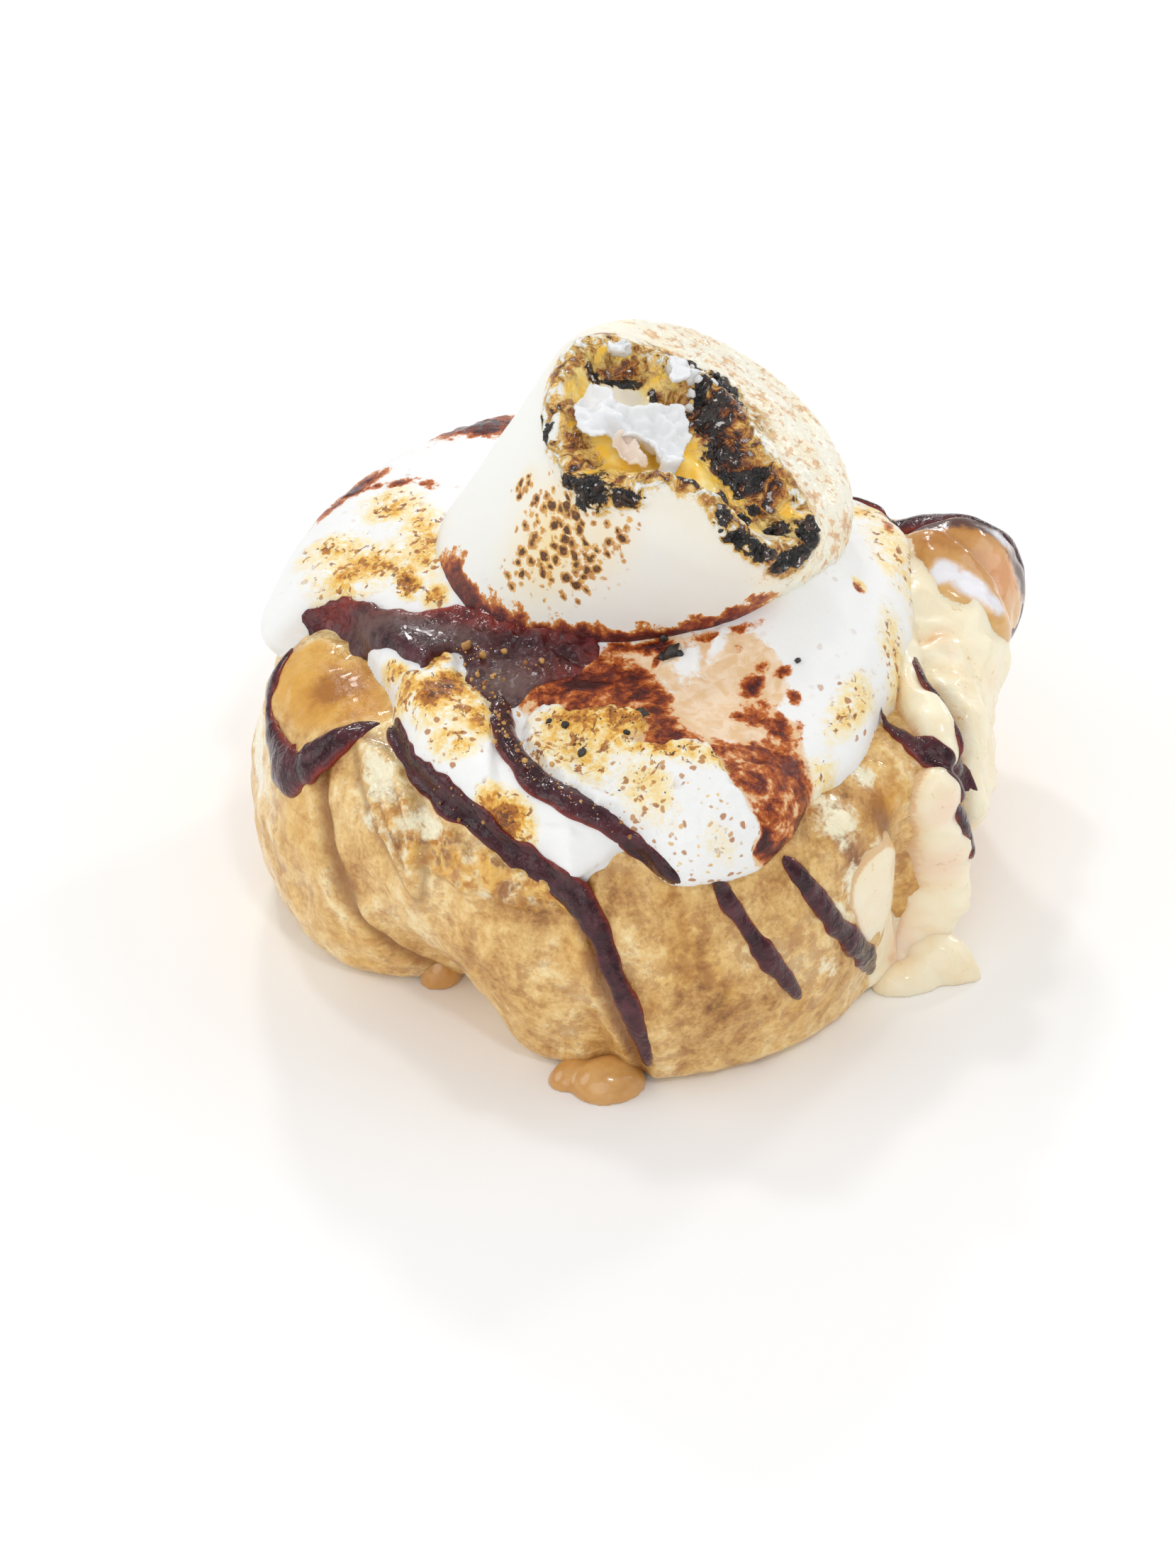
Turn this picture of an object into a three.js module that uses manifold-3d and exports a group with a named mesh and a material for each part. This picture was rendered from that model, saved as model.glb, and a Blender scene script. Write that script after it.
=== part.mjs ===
// A s'more bun: a glazed, coiled roll of baked dough, capped with melted marshmallow, chocolate sauce
// and cream icing, with one whole toasted marshmallow leaning on top.
// Millimetres, +Z up, the origin under the middle of the bun's foot, -Y towards the eater.

import * as THREE from "three";
import { mergeVertices } from "three/addons/utils/BufferGeometryUtils.js";
import Module from "manifold-3d";

const wasm = await Module();
wasm.setup();

// ---------------------------------------------------------------- driving dimensions

const GAP = 0.35; // air left between two pieces that touch

// The roll's section, before its lobes: a drum with a rounded rim and foot.
const ROLL = { radius: 39, height: 29, crown: 2.5, rim: 7, foot: 3, belly: 1.4 };

// Where the coil swells or draws in: angle and spread in degrees, reach outwards, middle and spread by run.
const LOBES = [
  { name: "left lobe", angle: 196, spread: 26, reach: 2.5, at: 54, tall: 20 },
  { name: "left notch", angle: 236, spread: 13, reach: -9.5, at: 68, tall: 13 },
  { name: "front lobe", angle: 268, spread: 26, reach: 2.9, at: 56, tall: 22 },
  { name: "front right", angle: 313, spread: 13, reach: -2.6, at: 62, tall: 18 },
  { name: "right cleft", angle: 319, spread: 6, reach: -3, at: 52, tall: 9 },
  { name: "right side", angle: 350, spread: 20, reach: -4.6, at: 52, tall: 22 },
  { name: "horn", angle: 21, spread: 13, reach: 7.2, at: 39.4, tall: 8.6 },
  { name: "back left", angle: 140, spread: 30, reach: -1.4, at: 52, tall: 24 },
];

// Steps in the wall where one turn of dough overlaps the next: the angle at the rim and at the foot, the
// step's depth on its low side, and how far round the low side recovers, which is to the left if negative.
const SEAMS = [
  { name: "tail seam", top: 257, bottom: 270, depth: 3.4, sweep: -24 },
  { name: "left seam", top: 206, bottom: 229, depth: 2.2, sweep: 20 },
  { name: "right seam", top: 309, bottom: 319, depth: 2.6, sweep: 16 },
  { name: "back seam", top: 96, bottom: 84, depth: 2.4, sweep: 22 },
];

// The melted marshmallow's outline on the unrolled top, where a point's distance from the middle is
// its run over the crown, rim and wall. Anticlockwise from the tip at the front left.
const MELT_OUTLINE = [
  [-27.4, -9.8], [-25.6, -14], [-25.2, -19], [-23, -25.4], [-18, -31.5], [-11, -36.5], [-6, -39],
  [-2.5, -36.5], [3, -39.5], [8, -39], [13, -36.4], [17, -30.6], [21.8, -24.4],
  [24.8, -16.6], [28.2, -8], [30, 5], [28, 16], [22, 27], [12, 36],
  [-3, 39], [-18, 38], [-29, 32], [-37, 20], [-40.5, 9], [-40.5, 2],
  [-37.5, -0.5], [-33, 0.5],
];
const MELT = { thick: 3.2, edge: 4.2, tuck: 1.3 };

// Swells (and sinks, where the rise is negative) of the melt: middle, half lengths, turn in degrees, rise.
const MELT_SWELLS = [
  { name: "heap", at: [0, 2], size: [23, 20], turn: 0, rise: 5 },
  { name: "right mound", at: [17, -5], size: [9, 13], turn: 8, rise: 5.4 },
  { name: "front patch", at: [5, -30], size: [12, 6.5], turn: -38, rise: 2.2 },
  { name: "left patch", at: [-22, -20], size: [5, 8], turn: 24, rise: 1.6 },
  { name: "back left mound", at: [-24, 18], size: [13, 12], turn: 0, rise: 3.4 },
  { name: "back mound", at: [-12, 30], size: [16, 9], turn: 0, rise: 3.4 },
  { name: "pool hollow", at: [-15, -10], size: [13, 5], turn: -24, rise: -2.2 },
  { name: "centre channel", at: [-7, -28], size: [13, 2.6], turn: -48, rise: -1.6 },
  { name: "left channel", at: [-22, -30], size: [13, 2.4], turn: -44, rise: -1.4 },
];

// The whole marshmallow: where its axis meets the melt, the lean of that axis, and its section.
const MALLOW = {
  at: [-1.2, 5.4, 35.2],
  lean: { right: 29, forward: 5 },
  radius: 18.4,
  flare: 0.3, // how much its sunk end spreads
  above: 20.2, // length of the barrel over that point
  below: 11, // and under it
  shoulder: 5.5, // rounding at the toasted end
  dome: 1.6,
  bed: 1.6, // depth of melt left under it
};
// The burnt-through hollow, on the toasted end rolled out flat: its outline, depth, and the crust round it.
const CRATER = {
  outline: [
    [-17.5, 1], [-15, 3.4], [-10, 3.6], [-6, 2.6], [-2, 0.8], [2.6, -3], [6.4, -7], [9.8, -10.2],
    [10.2, -13], [7.2, -15.8], [3, -16.2], [-1.6, -14.4], [-5.6, -14.2], [-10, -15.4], [-15, -15.2],
    [-18, -11.8], [-18.8, -6],
  ],
  depth: 2.8,
  slope: 3.4,
  lip: 1.1,
  lipWidth: 2,
};

// Flakes of white skin over the hollow, on the same flat: place, half sizes, waist, turn and stand-off.
const FLAKES = {
  skin_flap: { at: [-9.2, -8.8], size: [7.4, 5, 0.8], waist: 0.5, turn: -6, lift: 0.6 },
  skin_flake_back: { at: [-12.8, -0.4], size: [2.1, 1.6, 0.5], waist: 0, turn: -40, lift: 1.6 },
  skin_flake_side: { at: [-7.8, -0.8], size: [3, 1.2, 0.5], waist: 0.1, turn: 78, lift: 1.4 },
};

// Chocolate routes on the unrolled top, each point [x, y, half width].
const CHOCOLATE = {
  chocolate_left: [
    [-36.5, -0.5, 1.4], [-40, -4.5, 1.3], [-41, -11, 1.7], [-38.2, -18.4, 2.5], [-35, -19.8, 2.2],
    [-31, -19, 1.5], [-27.6, -18.8, 1.3],
  ],
  chocolate_front_left: [
    [-24.2, -21.8, 1.6], [-22.6, -25.8, 1.8], [-20.6, -28.8, 2.2], [-16.2, -32.9, 2.2], [-12.6, -36.4, 2.1],
    [-8.4, -39.6, 2.1], [-4.9, -43.5, 1.8], [-2.8, -49, 1.6], [-0.8, -54.7, 1.6], [1, -61.3, 1.5],
  ],
  chocolate_centre: [
    [-14.3, -18.5, 2.3], [-14.1, -21.8, 2.3], [-12.8, -27.1, 2.2], [-10.6, -30.8, 2], [-7, -33.4, 1.9],
    [-3.2, -35.4, 1.6], [0.4, -37.6, 1.4], [3.2, -39.4, 1.1],
  ],
  chocolate_front_right: [[9, -41, 1.2], [11.6, -43.6, 1.3], [16.6, -47.8, 1.5], [22, -51.2, 1.3]],
  chocolate_right: [
    [17, -38.2, 1.4], [21.6, -41, 1.6], [27, -43.2, 1.7], [34.6, -45, 1.7], [43.6, -45.6, 1.5],
  ],
  chocolate_cleft: [[26.4, -17.6, 1.3], [30.6, -21.4, 1.6], [35, -22.4, 1.7]],
  chocolate_rim: [[30, -6, 1], [31, -11, 1.2], [33, -16, 1.6], [38.4, -19.4, 1.8]],
  chocolate_side: [[38.6, -24, 1.2], [43.6, -23.8, 1.6], [49.4, -23.4, 1.4]],
};
// The pool that the routes run from.
const POOL_OUTLINE = [
  [-36, -1.5], [-32.5, 1.5], [-25, -4], [-19, -4.6], [-14, -6], [-8, -8.6], [-3, -12.2], [-3, -17.5],
  [-9.5, -19], [-13, -21.5], [-17.5, -17.6], [-19.2, -12.5], [-23.5, -9.6], [-29, -7],
];
const POOL = { thick: 1.3 };

// Icing that has run down the right of the bun, one piece to each list. A stream has its points
// as [angle, run], its half width and its thickness.
const ICING = {
  icing_lobe: [
    { route: [[12, 30], [5, 34], [-3, 40], [-8, 47], [-10, 52]], width: 7, thick: 3 },
    { route: [[0, 29], [-14, 29.5], [-24, 33], [-29, 38.5]], width: 2.7, thick: 2.4 },
  ],
  icing_run: [
    { route: [[-35, 41], [-34, 46], [-32, 52], [-31, 57]], width: 3.4, thick: 2.6 },
    { route: [[-31, 57], [-33, 62], [-36, 66]], width: 4.4, thick: 2.2 },
  ],
  icing_pool: [{ route: [[-52, 43], [-46, 49], [-42, 57]], width: 4.2, thick: 1.4 }],
};
const ICING_EDGE = { tuck: 1.2 };

// Glaze that has set on the floor against the foot: domes by place and half sizes, one piece to each list.
// The icing's own domes at its foot come after them.
const DRIPS = {
  glaze_drip_front: [
    { at: [-3.2, -40.4], size: [3.7, 3, 5], turn: 14 },
    { at: [-5.8, -38.8], size: [2.7, 2.1, 3], turn: 34 },
  ],
  glaze_drip_left: [{ at: [-21.2, -23.7], size: [2.4, 1.9, 3.6], turn: 24 }],
};
const FOOT_DRIP = [
  { at: [31.6, -21.4], size: [5.4, 3.2, 4.2], turn: -24 },
  { at: [29, -24], size: [4.6, 2.6, 3.4], turn: 30 },
];

const COLOURS = {
  roll: [0xd2a05a, 0.55],
  melt: [0xf3ece0, 0.62],
  mallow: [0xf0e6d2, 0.6],
  chocolate: [0x2c1410, 0.2],
  icing: [0xf0ddb8, 0.35],
  glaze: [0xcf9a4c, 0.3],
  flake: [0xf4f4f6, 0.7],
};

// ---------------------------------------------------------------- small maths

const rad = THREE.MathUtils.degToRad;
const clamp = THREE.MathUtils.clamp;
const smoothstep = (q) => THREE.MathUtils.smoothstep(q, 0, 1);

/** The smaller turn between two angles in degrees, signed. */
function turnBetween(a, b) {
  return ((((a - b) % 360) + 540) % 360) - 180;
}

/** A bell curve: 1 at its middle, falling to 0.37 one spread away. */
function bell(offset, spread) {
  return Math.exp(-((offset / spread) ** 2));
}

/** The height at (x, y) of an oval swell with a middle, half lengths, a turn and a rise. */
function swell(x, y, { at, size, turn, rise }) {
  const c = Math.cos(rad(turn));
  const s = Math.sin(rad(turn));
  const u = (x - at[0]) * c + (y - at[1]) * s;
  const v = (y - at[1]) * c - (x - at[0]) * s;
  return rise * bell(u, size[0]) * bell(v, size[1]);
}

/** The signed distance from (x, y) to a closed outline of THREE.Vector2 points: positive inside. */
function depthInside(outline, x, y) {
  let nearest = Infinity;
  let inside = false;
  outline.forEach((a, i) => {
    const b = outline[(i + 1) % outline.length];
    const along = clamp(((x - a.x) * (b.x - a.x) + (y - a.y) * (b.y - a.y)) / a.distanceToSquared(b), 0, 1);
    nearest = Math.min(nearest, Math.hypot(x - a.x - along * (b.x - a.x), y - a.y - along * (b.y - a.y)));
    if (a.y > y !== b.y > y && x < ((b.x - a.x) * (y - a.y)) / (b.y - a.y) + a.x) inside = !inside;
  });
  return inside ? nearest : -nearest;
}

/** A smooth closed outline through a few [x, y] points. */
function smoothOutline(points, steps) {
  const curve = new THREE.CatmullRomCurve3(points.map(([x, y]) => new THREE.Vector3(x, y, 0)), true);
  return curve.getPoints(steps).slice(0, -1).map((p) => new THREE.Vector2(p.x, p.y));
}

/** A layer's thickness at a depth inside its outline: a rounded edge, tucked under the surface outside it. */
function layerThickness(depth, full, { edge, tuck }) {
  const q = clamp(depth / edge, -1, 1);
  return q > 0 ? full * Math.sqrt(1 - (1 - q) ** 2) : tuck * q * 3 < -tuck ? -tuck : tuck * q * 3;
}

// ---------------------------------------------------------------- the bun's surface

// Runs over the section from the middle of the top: where the crown, rim, wall and foot end.
const CROWN_END = ROLL.radius - ROLL.rim;
const RIM_END = CROWN_END + (Math.PI / 2) * ROLL.rim;
const WALL_END = RIM_END + ROLL.height - ROLL.rim - ROLL.foot;
const FOOT_END = WALL_END + (Math.PI / 2) * ROLL.foot;
const SECTION_END = FOOT_END + ROLL.radius - ROLL.foot;

/** The section at a run: radius, height and outward normal, before the lobes. */
function section(run) {
  if (run < CROWN_END) {
    const q = run / CROWN_END;
    return { rho: run, z: ROLL.height + ROLL.crown * (1 - q * q), nr: (0.16 * run) / CROWN_END, nz: 1 };
  }
  if (run < RIM_END) {
    const a = (run - CROWN_END) / ROLL.rim;
    return {
      rho: CROWN_END + ROLL.rim * Math.sin(a),
      z: ROLL.height - ROLL.rim * (1 - Math.cos(a)),
      nr: 0.16 + 0.84 * Math.sin(a),
      nz: Math.cos(a),
    };
  }
  if (run < WALL_END) {
    const down = run - RIM_END;
    const rho = ROLL.radius + ROLL.belly * Math.sin((Math.PI * down) / (WALL_END - RIM_END));
    return { rho, z: ROLL.height - ROLL.rim - down, nr: 1, nz: 0 };
  }
  if (run < FOOT_END) {
    const a = (run - WALL_END) / ROLL.foot;
    return {
      rho: ROLL.radius - ROLL.foot * (1 - Math.cos(a)),
      z: ROLL.foot * (1 - Math.sin(a)),
      nr: 1,
      nz: 0,
    };
  }
  const rho = Math.max(0, SECTION_END - run);
  return { rho, z: 0, nr: rho / (ROLL.radius - ROLL.foot), nz: 0 };
}

/** How far the lobes and seams move the surface outwards at an angle (degrees) and a run. */
function reach(angle, run) {
  let out = 0;
  for (const lobe of LOBES) {
    const round = bell(turnBetween(angle, lobe.angle), lobe.spread);
    out += lobe.reach * round * bell(run - lobe.at, lobe.tall);
  }
  const fall = clamp((run - CROWN_END) / (WALL_END - CROWN_END), 0, 1);
  for (const s of SEAMS) {
    const past = turnBetween(angle, THREE.MathUtils.lerp(s.top, s.bottom, fall)) / s.sweep;
    if (past > 0 && past < 1) out -= s.depth * Math.sqrt(fall) * smoothstep(past * 4) * (1 - past) ** 2;
  }
  return out;
}

/** The point on the bun at an angle (degrees) and a run, raised off the section. The foot only moves out. */
function onBun(angle, run, lift = 0) {
  const { rho, z, nr, nz } = section(run);
  const move = lift + reach(angle, Math.min(run, FOOT_END));
  const out = rho + move * nr;
  return new THREE.Vector3(out * Math.cos(rad(angle)), out * Math.sin(rad(angle)), z + move * nz);
}

/** The same, from a point [x, y] of the unrolled top. */
function onChart(x, y, lift = 0) {
  return onBun(THREE.MathUtils.radToDeg(Math.atan2(y, x)), Math.hypot(x, y), lift);
}

// ---------------------------------------------------------------- meshes and solids

/** A closed mesh of rings on a surface, place(angle, run, lift), raised off it by lift(angle, run). */
function shellGeometry(place, runs, sides, lift) {
  const at = (angle, run) => place(angle, run, lift(angle, run));
  const points = [at(0, 0)];
  const faces = [];
  for (const run of runs.slice(0, -1)) {
    for (let i = 0; i < sides; i++) points.push(at((360 * i) / sides, run));
  }
  points.push(at(0, runs.at(-1)));
  const last = points.length - 1;
  for (let i = 0; i < sides; i++) {
    const j = (i + 1) % sides;
    faces.push(0, 1 + i, 1 + j);
    for (let r = 0; r + 2 < runs.length; r++) {
      const a = 1 + r * sides;
      const b = a + sides;
      faces.push(a + i, b + i, b + j, a + i, b + j, a + j);
    }
    faces.push(last, last - sides + j, last - sides + i);
  }
  return new THREE.BufferGeometry().setFromPoints(points).setIndex(faces);
}

/** A closed geometry as a solid that can be joined and cut. */
function solid(geometry) {
  const bare = (geometry.index ? geometry.toNonIndexed() : geometry.clone());
  bare.deleteAttribute("normal");
  bare.deleteAttribute("uv");
  const merged = mergeVertices(bare, 1e-4);
  return new wasm.Manifold(
    new wasm.Mesh({
      numProp: 3,
      vertProperties: merged.attributes.position.array,
      triVerts: new Uint32Array(merged.index.array),
    }),
  );
}

/** The largest single body of a solid, without the crumbs that a cut can leave. */
function largestBody(made) {
  return made.decompose().reduce((a, b) => (b.volume() > a.volume() ? b : a));
}

/** A solid as a named mesh in a colour. */
function meshOf(name, made, [color, roughness]) {
  const { vertProperties, triVerts, numProp } = largestBody(made).getMesh();
  const positions = [];
  for (let i = 0; i < vertProperties.length; i += numProp) positions.push(...vertProperties.slice(i, i + 3));
  const geometry = new THREE.BufferGeometry()
    .setAttribute("position", new THREE.Float32BufferAttribute(positions, 3))
    .setIndex([...triVerts]);
  geometry.computeVertexNormals();
  const mesh = new THREE.Mesh(geometry, new THREE.MeshStandardMaterial({ color, roughness, metalness: 0 }));
  mesh.name = name;
  return mesh;
}

/** Evenly spread runs from one to another, both included. */
function spread(from, to, steps) {
  return Array.from({ length: steps + 1 }, (_, i) => from + ((to - from) * i) / steps);
}

// ---------------------------------------------------------------- the roll

const ROLL_SIDES = 56;
const ROLL_RUNS = [
  12, 22, ...spread(CROWN_END, RIM_END, 4), ...spread(RIM_END + 4, WALL_END, 4),
  (WALL_END + FOOT_END) / 2, FOOT_END, SECTION_END,
];

/** The baked roll, or the space it takes with a gap round it. */
function rollSolid(gap = 0) {
  return solid(shellGeometry(onBun, ROLL_RUNS, ROLL_SIDES, () => gap));
}

// ---------------------------------------------------------------- the melted marshmallow

const MELT_SIDES = 54;
const MELT_RUNS = [9, ...spread(16, 44, 9), 50, SECTION_END];
const meltOutline = smoothOutline(MELT_OUTLINE, 110);

/** The melt's thickness over the bun at a point of the unrolled top. */
function meltThickness(x, y) {
  const swells = MELT_SWELLS.reduce((sum, s) => sum + swell(x, y, s), 0);
  return layerThickness(depthInside(meltOutline, x, y), MELT.thick + swells, MELT);
}

/** Everything under a layer that lies on the bun, from its thickness at a point of the unrolled top. */
function underLayer(thickness, gap = 0) {
  return solid(
    shellGeometry(onBun, MELT_RUNS, MELT_SIDES, (angle, run) => {
      const x = run * Math.cos(rad(angle));
      const y = run * Math.sin(rad(angle));
      return gap + thickness(x, y);
    }),
  );
}

// ---------------------------------------------------------------- the whole marshmallow

const FLAT_END = MALLOW.radius - MALLOW.shoulder;
const SHOULDER_END = FLAT_END + (Math.PI / 2) * MALLOW.shoulder;
const BARREL_END = SHOULDER_END + MALLOW.above + MALLOW.below - MALLOW.shoulder;
const MALLOW_END = BARREL_END + MALLOW.radius + MALLOW.flare;

/** The marshmallow's section at a run from its toasted end's middle: radius, height and outward normal. */
function mallowSection(run) {
  if (run < FLAT_END) {
    const q = run / FLAT_END;
    return { rho: run, z: MALLOW.above + MALLOW.dome * (1 - q * q), nr: 0.2 * q, nz: 1 };
  }
  if (run < SHOULDER_END) {
    const a = (run - FLAT_END) / MALLOW.shoulder;
    const rho = FLAT_END + MALLOW.shoulder * Math.sin(a);
    return { rho, z: MALLOW.above - MALLOW.shoulder * (1 - Math.cos(a)), nr: Math.sin(a), nz: Math.cos(a) };
  }
  if (run <= BARREL_END) {
    const down = run - SHOULDER_END;
    const rho = MALLOW.radius + MALLOW.flare * (down / (BARREL_END - SHOULDER_END)) ** 2;
    return { rho, z: MALLOW.above - MALLOW.shoulder - down, nr: 1, nz: 0 };
  }
  return { rho: MALLOW_END - run, z: -MALLOW.below, nr: 0, nz: -1 };
}

/** The point on the marshmallow, leaning where it stands, at an angle and a run, raised off its section. */
function onMallow(angle, run, lift = 0) {
  const { rho, z, nr, nz } = mallowSection(run);
  const out = rho + lift * nr;
  const own = new THREE.Vector3(out * Math.cos(rad(angle)), out * Math.sin(rad(angle)), z + lift * nz);
  return own.applyMatrix4(mallowFrame);
}

const mallowFrame = new THREE.Matrix4()
  .makeRotationFromEuler(new THREE.Euler(rad(MALLOW.lean.forward), rad(MALLOW.lean.right), 0, "YXZ"))
  .setPosition(...MALLOW.at);

const craterOutline = smoothOutline(CRATER.outline, 60);

/** How far the burnt hollow sinks the toasted end, less the crust that stands round it. */
function burnLift(angle, run) {
  if (run > SHOULDER_END + 4) return 0;
  const depth = depthInside(craterOutline, run * Math.cos(rad(angle)), run * Math.sin(rad(angle)));
  return CRATER.lip * bell(depth, CRATER.lipWidth) - CRATER.depth * smoothstep(depth / CRATER.slope);
}

const MALLOW_SIDES = 40;
const MALLOW_RUNS = [3, 6, 9, ...spread(FLAT_END - 1, SHOULDER_END + 2, 5), BARREL_END, MALLOW_END];

/** The marshmallow, or the space it takes with a gap round it, cut off where it lies on its bed. */
function mallowSolid(gap = 0) {
  const barrel = shellGeometry(onMallow, MALLOW_RUNS, MALLOW_SIDES, gap ? () => gap : burnLift);
  return solid(barrel).subtract(rollSolid(MALLOW.bed - gap));
}

/** A flake of skin: a thin plate with a drawn-in waist, laid over the toasted end. */
function flakeSolid({ at, size, waist, turn, lift }) {
  const plate = new THREE.SphereGeometry(1, 14, 7);
  const place = plate.attributes.position;
  for (let i = 0; i < place.count; i++) {
    const u = place.getX(i) * size[0];
    const v = place.getY(i) * size[1] * (1 - waist * bell(place.getX(i), 0.45));
    const x = at[0] + u * Math.cos(rad(turn)) - v * Math.sin(rad(turn));
    const y = at[1] + u * Math.sin(rad(turn)) + v * Math.cos(rad(turn));
    const height = CRATER.lip + lift + place.getZ(i) * size[2];
    const p = onMallow(THREE.MathUtils.radToDeg(Math.atan2(y, x)), Math.hypot(x, y), height);
    place.setXYZ(i, p.x, p.y, p.z);
  }
  return solid(plate);
}

// ---------------------------------------------------------------- chocolate

/** A rounded stream of sauce along a route of [x, y, half width], or that and a gap round it. */
function streamSolid(route, gap = 0) {
  const flat = new THREE.CatmullRomCurve3(route.map((p) => new THREE.Vector3(...p)));
  const steps = Math.max(4, Math.round(flat.getLength() / 4.2));
  let made = null;
  let before = null;
  for (const { x, y, z: width } of flat.getSpacedPoints(steps)) {
    const centre = onChart(x, y, toppedHeight(x, y) + 0.1 * width);
    const bead = new THREE.IcosahedronGeometry(width + gap, 0).translate(centre.x, centre.y, centre.z);
    const next = solid(bead);
    if (before) {
      const link = wasm.Manifold.hull([before, next]);
      made = made ? made.add(link) : link;
    }
    before = next;
  }
  return made;
}

/** The height over the bun of whatever a stream runs on: melt, icing or bare dough. */
function toppedHeight(x, y) {
  const angle = THREE.MathUtils.radToDeg(Math.atan2(y, x));
  const iced = Object.values(icingRoutes).map((streams) => icingThickness(streams, angle, Math.hypot(x, y)));
  return Math.max(0, meltThickness(x, y), ...iced);
}

/** The pool of sauce: its outline stood up as a wall, under the top of the sauce. */
function poolSolid(gap = 0) {
  const wall = new THREE.ExtrudeGeometry(new THREE.Shape(smoothOutline(POOL_OUTLINE, 26)), {
    depth: 20,
    bevelEnabled: gap > 0,
    bevelThickness: 0.1,
    bevelSize: gap,
    bevelSegments: 1,
  });
  const top = underLayer((x, y) => Math.max(0, meltThickness(x, y)) + POOL.thick, gap);
  return solid(wall.translate(0, 0, 25)).intersect(top);
}

// ---------------------------------------------------------------- icing and glaze

/** Each stream's middle line on the bun, with its half width and thickness. */
const icingRoutes = Object.fromEntries(
  Object.entries(ICING).map(([name, streams]) => [
    name,
    streams.map(({ route, width, thick }) => {
      const curve = new THREE.CatmullRomCurve3(route.map(([angle, run]) => new THREE.Vector3(angle, run, 0)));
      return { line: curve.getPoints(14).map((p) => onBun(p.x, p.y)), width, thick };
    }),
  ]),
);

/** The icing's thickness over the bun at an angle and a run: the thickest of its streams there. */
function icingThickness(streams, angle, run) {
  const here = onBun(angle, run);
  let most = -ICING_EDGE.tuck;
  for (const { line, width, thick } of streams) {
    for (const p of line) {
      const depth = width - here.distanceTo(p);
      if (depth > -2) most = Math.max(most, layerThickness(depth, thick, { edge: width, ...ICING_EDGE }));
    }
  }
  return most;
}

const ICING_SIDES = 72;
const ICING_RUNS = [12, 24, ...spread(26, FOOT_END, 15), SECTION_END];

/** Everything under the surface of one piece of icing. */
function underIcing(streams, gap = 0) {
  return solid(
    shellGeometry(onBun, ICING_RUNS, ICING_SIDES, (angle, run) => gap + icingThickness(streams, angle, run)),
  );
}

/** Low domes on the floor, joined, or those and a gap round them. */
function dripSolid(domes, gap = 0) {
  return domes
    .map(({ at, size, turn }) => {
      const ball = new THREE.SphereGeometry(1, 14, 8).rotateX(Math.PI / 2).scale(...size.map((r) => r + gap));
      return solid(ball.rotateZ(rad(turn)).translate(at[0], at[1], 0));
    })
    .reduce((a, b) => a.add(b))
    .trimByPlane([0, 0, 1], 0);
}

// ---------------------------------------------------------------- the bun

const bun = new THREE.Group();

/** Adds a piece, cut clear of what was laid before it, and keeps the space it takes, if it has any. */
function lay(name, made, colour, space) {
  bun.add(meshOf(name, taken.reduce((rest, t) => rest.subtract(t), made), colour));
  if (space) taken.push(space);
}

const taken = [];
lay("roll", rollSolid(), COLOURS.roll, rollSolid(GAP));
lay("marshmallow", mallowSolid(), COLOURS.mallow, mallowSolid(GAP));
lay("melted_marshmallow", underLayer(meltThickness), COLOURS.melt, underLayer(meltThickness, GAP));
for (const [name, streams] of Object.entries(icingRoutes)) {
  const made = (gap) => {
    const run = underIcing(streams, gap);
    return name === "icing_run" ? run.add(dripSolid(FOOT_DRIP, gap)) : run;
  };
  lay(name, made(0), COLOURS.icing, made(GAP));
}
lay("chocolate_pool", poolSolid(), COLOURS.chocolate, poolSolid(GAP));
for (const [name, route] of Object.entries(CHOCOLATE)) {
  lay(name, streamSolid(route), COLOURS.chocolate, streamSolid(route, GAP));
}
for (const [name, domes] of Object.entries(DRIPS)) lay(name, dripSolid(domes), COLOURS.glaze);
for (const [name, flake] of Object.entries(FLAKES)) lay(name, flakeSolid(flake), COLOURS.flake);

// The origin goes under the middle of all of it.
const whole = new THREE.Box3().setFromObject(bun).getCenter(new THREE.Vector3());
bun.position.set(-whole.x, -whole.y, 0);

export default bun;
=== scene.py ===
"""Dresses a s'more bun: a coiled roll of baked dough under melted marshmallow, chocolate sauce and icing,
with one whole toasted marshmallow leaning on top.

Lengths are in millimetres in the bun's own frame until a piece is finished, which puts it in metres.
"""

import itertools
import logging
import math
from dataclasses import dataclass
from enum import Enum
from functools import cached_property
from typing import Callable, Sequence

import bmesh
import bpy
import numpy as np
from bmesh.types import BMesh, BMVert
from bpy.types import ColorRamp, Material, Node, NodeSocket, Scene
from mathutils import Matrix, Vector


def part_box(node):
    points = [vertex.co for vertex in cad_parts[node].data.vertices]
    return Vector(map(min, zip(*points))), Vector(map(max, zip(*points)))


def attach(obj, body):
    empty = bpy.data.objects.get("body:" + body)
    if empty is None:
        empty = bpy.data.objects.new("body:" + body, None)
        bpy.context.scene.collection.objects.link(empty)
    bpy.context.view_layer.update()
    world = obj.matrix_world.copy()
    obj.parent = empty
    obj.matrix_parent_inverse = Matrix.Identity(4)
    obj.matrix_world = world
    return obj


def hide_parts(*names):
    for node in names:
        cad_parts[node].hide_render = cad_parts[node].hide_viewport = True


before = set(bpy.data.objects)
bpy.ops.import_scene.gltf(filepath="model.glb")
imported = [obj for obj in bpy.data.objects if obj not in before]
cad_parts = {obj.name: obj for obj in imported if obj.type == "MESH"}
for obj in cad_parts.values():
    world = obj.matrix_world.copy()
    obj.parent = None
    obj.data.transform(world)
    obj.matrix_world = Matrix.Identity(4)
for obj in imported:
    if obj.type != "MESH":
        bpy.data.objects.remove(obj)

Array = np.ndarray
Colour = tuple[float, float, float]
MM = 0.001
OVERLAP = 0.6
log = logging.getLogger("smore")
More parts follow.
